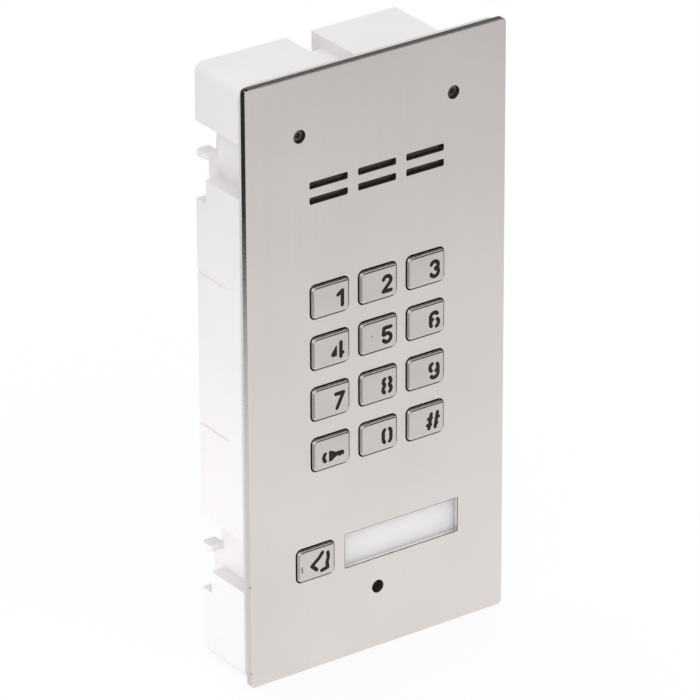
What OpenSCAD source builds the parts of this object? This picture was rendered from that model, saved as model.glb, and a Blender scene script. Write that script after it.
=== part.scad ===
// Door intercom panel: a steel front plate with keys, loudspeaker and name window on a white flush box.
// Millimetres. X runs to the right, Y into the wall and Z up.
// The origin is on the rear face of the box, in the middle of its four wall holes.
// Depths are measured from the front face of the plate towards the wall.

/* [Front plate] */
// Width of the front plate
plate_w = 100; // [96:0.5:112]
// Height of the front plate
plate_h = 210; // [208:0.5:230]
// Thickness of the front plate
plate_t = 2.5; // [2:0.1:4]
// Radius of the plate's corners
plate_corner_r = 1.6; // [0.5:0.1:3]
// How far the plate stands past the box on each side
plate_overhang = 1; // [0.6:0.1:3]
// Radius of the cutting marks left on the plate's side edge
nick_r = 0.3; // [0.2:0.1:0.8]
// Depth of the cutting marks from the plate's front face
nick_len = 0.9; // [0.4:0.1:2]
// Height of the lower cutting mark above the plate's bottom edge
nick_low = 5.5; // [3:0.5:15]
// Height of the upper cutting mark above the plate's bottom edge
nick_high = 37; // [20:0.5:60]

/* [Gasket] */
// Thickness of the gasket between plate and box
gasket_t = 1.8; // [1:0.1:3]
// How far the gasket stays inside the plate's edge
gasket_inset = 0.3; // [0.1:0.1:0.8]
// Radius of the gasket's corners
gasket_corner_r = 5; // [2:0.5:8]

/* [Box] */
// Depth of the box behind the gasket
box_depth = 25; // [24:0.5:45]
// Thickness of the box walls
box_wall = 2; // [1.5:0.1:2.5]
// Radius of the box's upright corners
box_corner_r = 3; // [2.2:0.1:5]
// Depth of the side clip bays
bay_depth = 5; // [3:0.1:6]
// Height of the recessed stretch of a side clip bay
bay_recess_h = 18.5; // [16:0.5:24]
// Height of the shortened wall below that stretch
bay_foot_h = 8; // [5:0.5:10]
// Distance of the upper bays' top edge below the top of the box
bay_drop = 19.5; // [19:0.5:24]
// Height of the lower bays' top edge above the bottom of the box
bay_rise = 50; // [46:0.5:58]
// How far the foot of a bay is cut back from the rear
bay_rear_step = 5.4; // [4:0.1:7]
// How far the wall of a bay is cut back from the rear above the tongue
tongue_step = 4.2; // [3:0.1:6]
// How far that cut reaches in from the side
bay_rear_reach = 11; // [8:0.5:13]
// Drop from the top of a bay to its tongue
tongue_drop = 9.5; // [9:0.1:12]
// Thickness of the tongue in a bay
tongue_t = 2.4; // [1:0.1:2.5]
// Length of the tongue in a bay, along the depth
tongue_len = 5.5; // [5:0.5:16]
// Width of the shallow slits in the side walls
slit_w = 1.4; // [0.4:0.1:2]
// Depth of the slits in the wall
slit_depth = 0.4; // [0.2:0.1:1]
// Length of the slits from the rear edge
slit_len = 16.5; // [10:0.5:18]
// Height of the upper slit above the middle
slit_high_z = 33; // [10:0.5:50]
// Height of the lower slit above the middle
slit_low_z = -20.4; // [-45:0.2:0]
// Middle of the channel in the top wall, from the middle of the box
channel_x = -9.5; // [-12:0.5:-8]
// Width of that channel
channel_w = 9.7; // [7:0.1:12]
// Depth of that channel below the top of the box
channel_drop = 4.5; // [3:0.1:6]
// How far the channel's floor is cut back from the rear
channel_rear_step = 5.2; // [3:0.1:7]
// Height of that cut below the channel's floor
channel_rear_drop = 5; // [3:0.5:7]
// Width of the cable bay in the upper corner
cable_bay_w = 21; // [19:0.5:23]
// Height of the cable bay in the upper corner
cable_bay_h = 15.5; // [14:0.5:17]
// Radius of the holes for the wall screws
wall_hole_r = 2.25; // [1.6:0.05:2.8]
// Distance between wall holes across the box
wall_hole_dx = 60; // [40:1:62]
// Distance between wall holes up the box
wall_hole_dz = 100; // [90:1:104]

/* [Keys] */
// Distance between key columns
key_pitch_x = 18.6; // [18.4:0.1:20]
// Distance between key rows
key_pitch_z = 18; // [16.5:0.1:19.5]
// Distance of the key block's middle below the plate's top edge
key_block_drop = 106; // [104:0.5:110]
// Width of a key window in the plate
key_open_w = 15.1; // [13:0.1:15.3]
// Height of a key window in the plate
key_open_h = 12.2; // [11:0.1:13]
// Radius of a key window's corners
key_open_r = 2.1; // [1.8:0.1:3]
// Gap between a key cap and its window, all round
key_gap = 0.4; // [0.3:0.05:0.7]
// How far the caps stand proud of the plate
key_proud = 1; // [0.8:0.1:1.5]
// Travel of a key
key_travel = 0.8; // [0.3:0.1:1]
// Radius of the rounded rim of a cap
key_rim_r = 1.1; // [0.5:0.1:1.3]
// Thickness of a cap's face
key_skin = 0.8; // [0.6:0.1:1]
// Thickness of a cap's side walls
key_side = 0.9; // [0.7:0.1:1]
// Width of the lip that keeps a cap behind the plate
key_lip = 1; // [0.8:0.1:1.2]
// Thickness of that lip
key_lip_t = 0.8; // [0.6:0.1:1]
// Running gap between moving and fixed pieces
slide_gap = 0.3; // [0.2:0.05:0.4]
// Distance of the call button's middle from the plate's left edge
call_edge = 25.3; // [24:0.1:26]
// Height of the call button's middle above the plate's bottom edge
call_rise = 38.7; // [37:0.1:41]
// Height of a legend cut through a cap
legend_h = 6.6; // [5:0.1:6.8]
// Width of the strokes of a legend
legend_stroke = 1.4; // [0.9:0.05:1.5]
// Place of a legend to the right of the cap's middle
legend_x = 3; // [2:0.1:3.2]
// Place of a legend above the cap's middle
legend_z = -0.6; // [-0.8:0.1:0.4]
// Radius of the dot on the middle key
dot_r = 0.45; // [0.3:0.05:0.7]
// Place of that dot to the left of the cap's middle
dot_x = 2.6; // [1.5:0.1:4]

/* [Sound] */
// Width of a sound slot
slot_w = 14.6; // [10:0.1:15]
// Height of a sound slot
slot_h = 2.3; // [1.5:0.1:3]
// Radius of a sound slot's corners
slot_r = 0.5; // [0.2:0.1:0.7]
// Distance between the two rows of slots
slot_pitch = 5.3; // [4:0.1:7]
// Distance of the loudspeaker's middle below the plate's top edge
speaker_drop = 41.1; // [39:0.1:42]
// Radius of the loudspeaker
speaker_r = 25; // [24.5:0.5:26]
// Depth of the loudspeaker's basket
basket_depth = 9.6; // [8:0.1:11]
// Radius of the loudspeaker's magnet
magnet_r = 13; // [10:0.5:14]
// Thickness of the loudspeaker's magnet
magnet_t = 7; // [4:0.5:8]
// Radius of the microphone hole in the plate
mic_hole_r = 2.25; // [1:0.05:3]
// Height of the microphone above the plate's bottom edge
mic_rise = 22; // [20:0.5:22.5]
// Radius of the microphone capsule
mic_r = 4.85; // [3:0.05:5]
// Length of the microphone capsule
mic_len = 5.2; // [3:0.1:5.5]

/* [Name window] */
// Distance of the name window from the plate's right edge
name_edge = 17.95; // [17:0.05:24]
// Gap between the call button's window and the name window
name_call_gap = 4.1; // [3.8:0.1:8]
// Height of the name window
name_h = 12.4; // [10:0.1:13]
// Thickness of the clear insert's flange
name_flange_t = 1.4; // [1:0.1:2]
// Thickness of the name card
card_t = 0.4; // [0.2:0.1:0.8]

/* [Inside] */
// Distance from the plate's middle to a fixing screw, across
screw_x = 29.6; // [29:0.1:30]
// Distance of the fixing screws below the plate's top edge
screw_drop = 20.6; // [20:0.1:21]
// Radius of the fixing screw holes in the plate
screw_hole_r = 2.25; // [2.1:0.05:2.5]
// Radius of a fixing screw's shank
screw_r = 1.5; // [1.2:0.1:1.6]
// Thickness of the circuit board
board_t = 1.6; // [1:0.1:2]
// Depth of the key housing
housing_t = 4.7; // [4.5:0.1:6]
// Gap between the key housing and the circuit board
board_gap = 4; // [3.8:0.1:5]
// Radius of the studs on the plate
stud_r = 1.5; // [1.2:0.1:1.6]
// Thickness of the stud nuts
nut_t = 2.4; // [1.5:0.1:3]
// Number of ways in the terminal block
terminal_ways = 8; // [4:1:9]
// Distance between terminal ways
terminal_pitch = 5; // [4:0.1:5.5]
// Radius of the cable hole through the grommet
cable_r = 3.5; // [2:0.1:4]

/* [Hidden] */
$fn = 48;

STEEL = "#c9c5bf";
DARK = "#2c2a29";
WHITE = "#f2f1ef";
BRASS = "#c8a857";
ZINC = "#b9bcc0";
BOARD = "#1f6b3f";

// Legends in the order of the keys, from the top left, with the call button last
LEGENDS = ["1", "2", "3", "4", "5", "6", "7", "8", "9", "latch", "0", "hash", "call"];
KEY_COLUMNS = 3;
KEY_ROWS = 4;
CALL = KEY_COLUMNS * KEY_ROWS;
DOTTED_KEY = 4;

// Legends are drawn in design units, so many to a legend's height
legend_units = 6.6;
unit = legend_h / legend_units;
// How much smaller the round end of a stroke is than half the stroke
stroke_end_step = 0.06;

// Cutting allowance that carries a cut clear past a face
past = 1;
// Clearance of a loose fit between pieces that don't move
fit = 0.2;

// Box and stack of depths
box_w = plate_w - 2 * plate_overhang;
box_h = plate_h - 2 * plate_overhang;
d_rim = plate_t + gasket_t;
depth_total = d_rim + box_depth;
d_floor = depth_total - box_wall;
wall_top = box_h / 2 - box_wall;
BAY_TOPS = [box_h / 2 - bay_drop, bay_rise - box_h / 2];

// Tongues of the side bays and the fins of wall below them
tongue_root = 0.8;
tongue_r = 1.2;
fin_h = 6;

// Places on the plate, from its edges
top_edge = plate_h / 2;
low_edge = -plate_h / 2;
screw_z = top_edge - screw_drop;
speaker_z = top_edge - speaker_drop;
key_block_z = top_edge - key_block_drop;
call_z = low_edge + call_rise;
mic_z = low_edge + mic_rise;
call_x = call_edge - plate_w / 2;
name_left = call_x + key_open_w / 2 + name_call_gap;
name_right = plate_w / 2 - name_edge;
name_w = name_right - name_left;
name_x = (name_left + name_right) / 2;

// Key and its stack of depths
cap_w = key_open_w - 2 * key_gap;
cap_h = key_open_h - 2 * key_gap;
cap_r = key_open_r - key_gap;
lip_w = cap_w + 2 * key_lip;
lip_h = cap_h + 2 * key_lip;
well_w = lip_w + 2 * slide_gap;
well_h = lip_h + 2 * slide_gap;
d_lip = plate_t + slide_gap;
d_lip_end = d_lip + key_lip_t;
d_pocket = key_skin - key_proud;
core_base_t = 0.8;
d_core_end = d_lip_end + core_base_t;
stem_r = 1.6;
stem_bore_r = stem_r + slide_gap;

// Housing, board and switch
well_floor_t = 0.9;
d_housing_end = plate_t + housing_t;
d_board = d_housing_end + board_gap;
d_board_end = d_board + board_t;
switch_w = 6.2;
d_switch = d_housing_end + fit;
stem_entry = 0.8;
d_stem_end = d_switch + stem_entry;
light_offset = 4.8;
light_w = 3.2;
light_h = 1.6;
light_t = 1.2;
light_window_gap = 0.6;

// Name window and the light box behind its card
name_gap = 0.15;
name_recess = 0.15;
name_lip = 1.5;
name_flange_w = name_w + 2 * name_lip;
name_flange_h = name_h + 2 * name_lip;
d_card = plate_t + name_flange_t;
d_tray = d_card + card_t;
tray_wall = 1.2;

// Microphone and boot
boot_wall = 1.2;
boot_r = mic_r + boot_wall;
boot_face_t = 1;
mic_pin_r = 0.35;
mic_pin_gap = 2.5;

// Outline of housing and board
board_edge_gap = 2;
board_w = box_w - 2 * (bay_depth + box_wall + board_edge_gap);
housing_inset = 1.5;
housing_w = board_w - 2 * housing_inset;
housing_rim = 2.5;
row_top_z = key_block_z + (KEY_ROWS - 1) / 2 * key_pitch_z;
row_low_z = key_block_z - (KEY_ROWS - 1) / 2 * key_pitch_z;
board_top = row_top_z + well_h / 2 + housing_rim;
board_low = mic_z - boot_r - fit - housing_rim;
board_h = board_top - board_low;
board_z = (board_top + board_low) / 2;

// Studs on the plate
stud_edge = 5;
stud_x = housing_w / 2 - stud_edge;
stud_boss_r = 3.4;
name_low = call_z - name_flange_h / 2;
stud_high_z = board_top - stud_edge;
stud_mid_z = row_low_z;
stud_low_z = (name_low + board_low) / 2;
stud_tip = 1.5;
d_stud_end = d_board_end + nut_t + stud_tip;
nut_r = 3.2;
BOARD_STUDS = [for (x = [-stud_x, stud_x], z = [stud_high_z, stud_mid_z, stud_low_z]) [x, z]];

// Loudspeaker stack
mesh_t = 0.4;
mesh_margin = 0.8;
slot_reach = norm([key_pitch_x + slot_w / 2, (slot_pitch + slot_h) / 2]);
mesh_r = max(speaker_r, slot_reach + mesh_margin);
ring_t = 1.5;
ring_w = 1.7;
flange_t = 1;
flange_w = 3.5;
d_ring = plate_t + mesh_t;
d_flange = d_ring + ring_t;
d_flange_end = d_flange + flange_t;
d_basket_end = d_flange + basket_depth;
basket_skin = 1;
surround_t = 0.4;
cone_skin = 0.6;
coil_r = 7;
cone_end_gap = 2.5;
clip_w = 8;
clip_t = 1.2;
clip_heel = 2;
clip_bite = flange_w - basket_skin - 2 * fit;
clip_stud_gap = 0.6;
clip_end_gap = 1.5;
clip_stud_x = mesh_r + stud_r + clip_stud_gap;
clip_reach = clip_stud_x + stud_r + clip_end_gap;
d_clip_end = d_flange_end + clip_t;
SPEAKER_STUDS = [for (s = [-1, 1]) [s * clip_stud_x, speaker_z]];

// Fixing screws, pads and bosses in the box
screw_head_gap = 0.15;
screw_head_r = screw_hole_r - screw_head_gap;
screw_head_t = 1.3;
screw_socket_r = 1.1;
screw_socket_depth = 0.9;
pad_w = 10;
pad_t = 1.5;
boss_r = 4.5;
boss_front_gap = 8;
d_boss = plate_t + pad_t + boss_front_gap;
insert_r = 2.5;
insert_len = 7;
screw_grip = 9;
d_screw_end = d_boss + screw_grip;

// Hooks at the bottom of the plate and the rib that they catch
hook_w = 8;
hook_t = 1.5;
hook_x = 15;
hook_foot_h = 6;
rib_h = 3;
rib_t = 1.5;
rib_half = hook_x + hook_w;
rib_gap = 3;
d_rib = d_rim + rib_gap;
d_rib_end = d_rib + rib_t;
wall_low = -wall_top;
hook_low = wall_low + rib_h + slide_gap;
claw_drop = rib_h - 2 * slide_gap;

// Cable grommet in the wall of the cable bay
grommet_wall = 1.5;
grommet_groove_r = cable_r + grommet_wall;
grommet_flange_r = (cable_bay_h - box_wall) / 2 - slide_gap;
grommet_flange_t = 1.5;
cable_wall_x = box_w / 2 - cable_bay_w;
cable_z = (wall_top + box_h / 2 - cable_bay_h) / 2;
d_cable = d_rim + box_depth / 2;

// Pieces on the rear of the board
part_gap = 1.5;
terminal_ends = 1.2;
terminal_w = terminal_ways * terminal_pitch + terminal_ends;
terminal_h = 9;
terminal_t = 9;
terminal_up = 19;
terminal_z = key_block_z + terminal_up;
terminal_wire_r = 1.3;
terminal_screw_r = 1.7;
terminal_screw_drop = 2;
relay_w = 15.4;
relay_h = 19;
relay_t = 10.5;
relay_x = stud_x - nut_r - part_gap - relay_w / 2;
relay_down = 13;
relay_z = key_block_z - relay_down;
chip_w = 10;
chip_t = 1.6;
chip_x = -12;
chip_down = 19;
chip_z = key_block_z - chip_down;
chip_leads = 8;
lead_w = 0.4;
lead_len = 1;
amp_w = 9.6;
amp_h = 6.4;
amp_t = 3.4;
amp_x = amp_w / 2 + part_gap + nut_r - stud_x;
amp_z = row_low_z - key_pitch_z;
amp_leads = 4;
amp_lead_pitch = 2.5;
cap_can_r = 4;
cap_can_h = 10;
cap_can_pitch = 10.5;
cap_can_x = stud_x - nut_r - part_gap - cap_can_r - cap_can_pitch;
cap_can_z = amp_z;
cap_can_groove = 0.5;
cap_cans = 3;
wire_r = 0.6;
wire_gap = 4;
wire_drop = 4;

// Height of the loudspeaker's solder tags, in the middle of the flange's free rear face
tag_z = speaker_z - speaker_r + (flange_w - basket_skin) / 2;

function y_of(d) = d - depth_total;
function column_x(i) = (i % KEY_COLUMNS - (KEY_COLUMNS - 1) / 2) * key_pitch_x;
function row_z(i) = row_top_z - floor(i / KEY_COLUMNS) * key_pitch_z;
function key_at(i) = i == CALL ? [call_x, call_z] : [column_x(i), row_z(i)];

// Draws a flat shape from one depth to another; the shape's second axis points up
module deep(d0, d1) {
    translate([0, y_of(d1), 0]) rotate([90, 0, 0]) linear_extrude(d1 - d0) children();
}

// Turns a profile of radius and depth about an axis into the wall
module turned(x, z) {
    translate([x, y_of(0), z]) rotate([-90, 0, 0]) rotate_extrude() children();
}

module at(p) {
    translate([p[0], 0, p[1]]) children();
}

module round_rect(w, h, r) {
    square([w - 2 * r, h], center = true);
    square([w, h - 2 * r], center = true);
    for (sx = [-1, 1], sy = [-1, 1])
        translate([sx * (w / 2 - r), sy * (h / 2 - r)]) circle(r);
}

module rod(x, z, r, d0, d1) {
    translate([x, y_of(0), z]) rotate([-90, 0, 0]) translate([0, 0, d0]) cylinder(r = r, h = d1 - d0);
}

module brick(x0, x1, d0, d1, z0, z1) {
    translate([x0, y_of(d0), z0]) cube([x1 - x0, d1 - d0, z1 - z0]);
}

// Flat outline of the recesses that run through the box from front to rear, grown by a margin
module box_recesses(grow) {
    for (side = [-1, 1], top = BAY_TOPS)
        translate([side * (box_w / 2 + past), top - bay_recess_h / 2])
            square([2 * (bay_depth + grow + past), bay_recess_h + 2 * grow], center = true);
    translate([channel_x, box_h / 2 + past])
        square([channel_w + 2 * grow, 2 * (channel_drop + grow + past)], center = true);
    translate([box_w / 2 + past, box_h / 2 + past])
        square([2 * (cable_bay_w + grow + past), 2 * (cable_bay_h + grow + past)], center = true);
}

module box_outline() {
    difference() {
        round_rect(box_w, box_h, box_corner_r);
        box_recesses(0);
    }
}

module cavity_outline() {
    difference() {
        square([box_w - 2 * box_wall, box_h - 2 * box_wall], center = true);
        box_recesses(box_wall);
    }
}

// Cuts that shorten the box from the rear, grown by a margin
module rear_steps(grow) {
    d_step = depth_total - bay_rear_step - grow;
    d_clip = depth_total - tongue_step - grow;
    x_in = box_w / 2 - bay_rear_reach - grow;
    for (side = [-1, 1], top = BAY_TOPS) mirror([side < 0 ? 1 : 0, 0, 0]) {
        z_fin = top - tongue_drop - tongue_t + tongue_root;
        brick(x_in, box_w / 2 + past, d_clip, depth_total + past, z_fin - grow, top + grow);
        brick(x_in, box_w / 2 - bay_depth - box_wall + grow, d_clip, depth_total + past,
            z_fin - fin_h - grow, z_fin + grow + past);
        brick(box_w / 2 - bay_depth - grow, box_w / 2 + past, d_step, depth_total + past,
            top - bay_recess_h - bay_foot_h - grow, top - bay_recess_h + grow);
    }
    brick(channel_x - channel_w / 2 - grow, channel_x + channel_w / 2 + grow,
        depth_total - channel_rear_step - grow, depth_total + past,
        box_h / 2 - channel_drop - channel_rear_drop - grow, box_h / 2 + past);
}

// Tongue that stands out into a side bay, rooted in the fin of wall below it
module bay_tongue(top) {
    x_wall = box_w / 2 - bay_depth;
    z_low = top - tongue_drop - tongue_t;
    d_start = depth_total - tongue_len;
    d_end = depth_total - fit;
    length = d_end - d_start;
    translate([x_wall, y_of(d_start), z_low]) linear_extrude(tongue_t) {
        translate([bay_depth / 2, length / 2]) round_rect(bay_depth, length, tongue_r);
        square([bay_depth - tongue_r, length]);
    }
    brick(x_wall - box_wall / 2, x_wall + fit, d_start, d_end, z_low, z_low + tongue_root);
}

module back_box() {
    color(WHITE) difference() {
        union() {
            difference() {
                deep(d_rim, depth_total) box_outline();
                rear_steps(0);
                difference() {
                    deep(d_rim - past, d_floor) cavity_outline();
                    rear_steps(box_wall);
                }
            }
            for (side = [0, 1], top = BAY_TOPS) mirror([side, 0, 0]) bay_tongue(top);
            for (side = [-1, 1]) rod(side * screw_x, screw_z, boss_r, d_boss, depth_total - box_wall / 2);
            brick(-rib_half, rib_half, d_rib, d_rib_end, wall_low - box_wall / 2, wall_low + rib_h);
        }
        for (side = [-1, 1]) rod(side * screw_x, screw_z, insert_r, d_boss - past, d_boss + insert_len);
        for (side = [-1, 1]) rod(side * screw_x, screw_z, screw_r + fit, d_boss, d_screw_end + past);
        for (sx = [-1, 1], sz = [-1, 1])
            rod(sx * wall_hole_dx / 2, sz * wall_hole_dz / 2, wall_hole_r, d_floor - past,
                depth_total + past);
        for (side = [-1, 1], z = [slit_high_z, slit_low_z]) mirror([side < 0 ? 1 : 0, 0, 0])
            brick(box_w / 2 - slit_depth, box_w / 2 + past, depth_total - slit_len, depth_total + past,
                z - slit_w / 2, z + slit_w / 2);
        translate([cable_wall_x - box_wall - past, y_of(d_cable), cable_z]) rotate([0, 90, 0])
            cylinder(r = grommet_groove_r, h = box_wall + 2 * past);
    }
}

module cable_grommet() {
    color(DARK) translate([cable_wall_x, y_of(d_cable), cable_z]) rotate([0, 90, 0]) difference() {
        union() {
            cylinder(r = grommet_flange_r, h = grommet_flange_t);
            translate([0, 0, -box_wall]) cylinder(r = grommet_groove_r, h = box_wall);
            translate([0, 0, -box_wall - grommet_flange_t])
                cylinder(r = grommet_flange_r, h = grommet_flange_t);
        }
        translate([0, 0, -box_wall - grommet_flange_t - past])
            cylinder(r = cable_r, h = box_wall + 2 * grommet_flange_t + 2 * past);
    }
}

module plate_gasket() {
    color("#d3d2d0") deep(plate_t, d_rim) difference() {
        round_rect(plate_w - 2 * gasket_inset, plate_h - 2 * gasket_inset, gasket_corner_r);
        cavity_outline();
        for (side = [-1, 1]) translate([side * screw_x, screw_z]) square(pad_w + 2 * fit, center = true);
    }
}

module front_plate() {
    color(STEEL) difference() {
        deep(0, plate_t) difference() {
            round_rect(plate_w, plate_h, plate_corner_r);
            for (i = [0 : CALL]) translate(key_at(i)) round_rect(key_open_w, key_open_h, key_open_r);
            for (c = [-1, 0, 1], r = [-1, 1])
                translate([c * key_pitch_x, speaker_z + r * slot_pitch / 2])
                    round_rect(slot_w, slot_h, slot_r);
            translate([name_x, call_z]) square([name_w, name_h], center = true);
            for (side = [-1, 1]) translate([side * screw_x, screw_z]) circle(screw_hole_r);
            translate([0, mic_z]) circle(mic_hole_r);
        }
        for (up = [nick_low, nick_high]) rod(-plate_w / 2, up - plate_h / 2, nick_r, -past, nick_len);
    }
}

module fixing_screws() {
    d_seat = plate_t;
    color("#2c2b2a") for (side = [-1, 1]) difference() {
        union() {
            rod(side * screw_x, screw_z, screw_head_r, d_seat - screw_head_t, d_seat);
            rod(side * screw_x, screw_z, screw_r, d_seat - screw_head_t, d_screw_end);
        }
        translate([side * screw_x, y_of(d_seat - screw_head_t - past), screw_z]) rotate([-90, 0, 0])
            cylinder(r = screw_socket_r, h = screw_socket_depth + past, $fn = 6);
    }
}

module screw_pads() {
    color(ZINC) for (side = [-1, 1]) deep(plate_t, plate_t + pad_t) translate([side * screw_x, screw_z])
        difference() {
            square(pad_w, center = true);
            circle(screw_r + fit);
        }
}

module threaded_inserts() {
    color(BRASS) for (side = [-1, 1]) difference() {
        rod(side * screw_x, screw_z, insert_r, d_boss, d_boss + insert_len);
        rod(side * screw_x, screw_z, screw_r + fit / 2, d_boss - past, d_boss + insert_len + past);
    }
}

module bottom_hooks() {
    color(ZINC) for (side = [-1, 1]) {
        x0 = side * hook_x - hook_w / 2;
        x1 = side * hook_x + hook_w / 2;
        d_claw = d_rib_end + slide_gap;
        brick(x0, x1, plate_t, plate_t + hook_t, hook_low, hook_low + hook_foot_h);
        brick(x0, x1, plate_t, d_claw + hook_t, hook_low, hook_low + hook_t);
        brick(x0, x1, d_claw, d_claw + hook_t, hook_low - claw_drop, hook_low + hook_t);
    }
}

// Round end of a legend's stroke
module stroke_end(p) {
    translate(p * unit) circle(legend_stroke / 2 - stroke_end_step);
}

// Straight stroke of a legend between two points, in design units
module bar(a, b) {
    run = b - a;
    translate(a * unit) rotate(atan2(run[1], run[0])) translate([0, -legend_stroke / 2])
        square([norm(run) * unit, legend_stroke]);
    stroke_end(a);
    stroke_end(b);
}

// Curved stroke of a legend about a centre, from one angle to another, in design units
module arc(c, r, a0, a1) {
    reach = 2 * (r * unit + legend_stroke);
    steps = 4;
    angles = [for (k = [0 : steps]) a0 + (a1 - a0) * k / steps];
    translate(c * unit) intersection() {
        difference() {
            circle(r * unit + legend_stroke / 2);
            circle(r * unit - legend_stroke / 2);
        }
        polygon(concat([[0, 0]], [for (a = angles) reach * [cos(a), sin(a)]]));
    }
    for (a = [a0, a1]) stroke_end(c + r * [cos(a), sin(a)]);
}

module mirrored_pair() {
    children();
    mirror([1, 0]) children();
}

module legend(name) {
    if (name == "1") {
        bar([1.3, -2.6], [1.3, 2.5]);
        bar([-0.4, 1.3], [1.2, 2.4]);
    }
    if (name == "2") {
        arc([0.05, 1.15], 1.45, -32, 165);
        bar([1.28, 0.38], [-1.35, -2.4]);
        bar([-1.5, -2.55], [1.6, -2.55]);
    }
    if (name == "3") {
        arc([0.05, 1.2], 1.4, -75, 160);
        arc([0.05, -1.1], 1.5, -160, 75);
    }
    if (name == "4") {
        polygon([[-0.85, 1.75] * unit, [-1.3, 1.6] * unit, [-3.1, -0.9] * unit, [-3.05, -1.6] * unit,
            [-2.6, -2.1] * unit, [-0.85, -1.95] * unit]);
        bar([0.65, 2.5], [0.65, -2.55]);
        bar([0.65, -1.35], [1.4, -1.35]);
    }
    if (name == "5") {
        bar([-1.2, 2.55], [1.55, 2.55]);
        bar([-1.2, 2.5], [-1.45, 0.2]);
        arc([0, -1.05], 1.5, -155, 130);
    }
    if (name == "6") {
        arc([0, 1.05], 1.5, 38, 180);
        bar([-1.5, 1.05], [-1.5, -1.1]);
        arc([0, -1.1], 1.5, 118, 220);
        arc([0.15, -1.1], 1.5, -64, 50);
    }
    if (name == "7") {
        bar([-1.45, 2.55], [1.6, 2.55]);
        bar([1.45, 2.4], [-0.95, -2.5]);
    }
    if (name == "8") mirrored_pair() {
        arc([0.2, 1.4], 1.25, -55, 55);
        arc([0.15, -1.3], 1.4, -52, 52);
    }
    if (name == "9") rotate(180) legend("6");
    if (name == "0") mirrored_pair() {
        arc([0.05, 1.1], 1.45, 0, 52);
        bar([1.5, 1.1], [1.5, -1.1]);
        arc([0.05, -1.1], 1.45, -52, 0);
    }
    if (name == "hash") {
        bar([-2, -2.5], [-1.1, 2.6]);
        bar([-2.6, -1.2], [-1.3, -1.2]);
        bar([-2.2, 1], [-1, 1]);
        bar([0.45, -2.5], [1.35, 2.7]);
        bar([0.65, -1.2], [1.15, -1.2]);
        bar([1, 1], [1.75, 1]);
    }
    if (name == "latch") {
        arc([-4.5, -0.9], 1.7, 130, 230);
        polygon([[-4.2, 1.05] * unit, [-3.2, 1] * unit, [-1.5, 0.1] * unit, [0.75, 0.2] * unit,
            [1.5, -0.1] * unit, [1.85, -0.8] * unit, [1.5, -1.75] * unit, [0.85, -1.45] * unit,
            [0.1, -1.95] * unit, [-0.75, -1.4] * unit, [-1.75, -1.75] * unit, [-2.75, -2.55] * unit,
            [-4.2, -2.9] * unit]);
    }
    if (name == "call") {
        bar([-0.8, 3.75], [-2.3, 2]);
        bar([-2.3, 2], [-5, -0.1]);
        bar([-5, -0.1], [-3.05, -1.95]);
        bar([1.25, 3.2], [1.5, 1.7]);
        bar([1.5, 1.7], [0.9, -0.5]);
        bar([0.9, -0.5], [1.25, -2.2]);
        bar([1.25, -2.2], [-1.2, -2.7]);
        translate([-8.8, -0.4] * unit) square([0.4, 2.2] * unit, center = true);
    }
}

// Block with a rounded rim round its front face, from the front depth to the rear depth
module rimmed_block(w, h, r, rim, d0, d1) {
    length = d1 - d0;
    x = w / 2 - r;
    z = h / 2 - r;
    translate([-x, y_of(d0), 0]) rotate([90, 0, 90]) linear_extrude(2 * x) rim_profile(h, rim, length);
    translate([0, y_of(d0), -z]) linear_extrude(2 * z) mirror([1, -1]) rim_profile(w, rim, length);
    for (sx = [-1, 1], sz = [-1, 1]) turned(sx * x, sz * z) translate([0, d0]) {
        translate([0, rim]) square([r, length - rim]);
        square([r - rim, length]);
        translate([r - rim, rim]) rim_quarter(rim);
    }
}

module rim_quarter(rim) {
    intersection() {
        circle(rim);
        translate([0, -rim]) square(rim);
    }
}

// Side view of a block with rounded front edges; the first axis is the depth
module rim_profile(span, rim, length) {
    translate([rim, -span / 2]) square([length - rim, span]);
    translate([0, -(span / 2 - rim)]) square([length, span - 2 * rim]);
    for (s = [-1, 1]) translate([rim, s * (span / 2 - rim)]) circle(rim);
}

module key_cap(i) {
    color(STEEL) at(key_at(i)) difference() {
        union() {
            rimmed_block(cap_w, cap_h, cap_r, key_rim_r, -key_proud, d_lip_end);
            deep(d_lip, d_lip_end) round_rect(lip_w, lip_h, cap_r + key_lip);
            if (i == DOTTED_KEY) rod(-dot_x, 0, dot_r, -key_proud - dot_r / 2, 0);
        }
        deep(d_pocket, d_lip_end + past) square([cap_w - 2 * key_side, cap_h - 2 * key_side], center = true);
        deep(-key_proud - past, d_pocket + past / 2) translate([legend_x, legend_z]) legend(LEGENDS[i]);
    }
}

module key_core(i) {
    color(DARK) at(key_at(i)) {
        deep(d_pocket, d_core_end)
            square([cap_w - 2 * key_side - 2 * fit, cap_h - 2 * key_side - 2 * fit], center = true);
        deep(d_lip_end, d_core_end) square([lip_w - 2 * cap_r, lip_h - 2 * cap_r], center = true);
        rod(0, 0, stem_r, d_lip_end, d_stem_end);
    }
}

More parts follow.
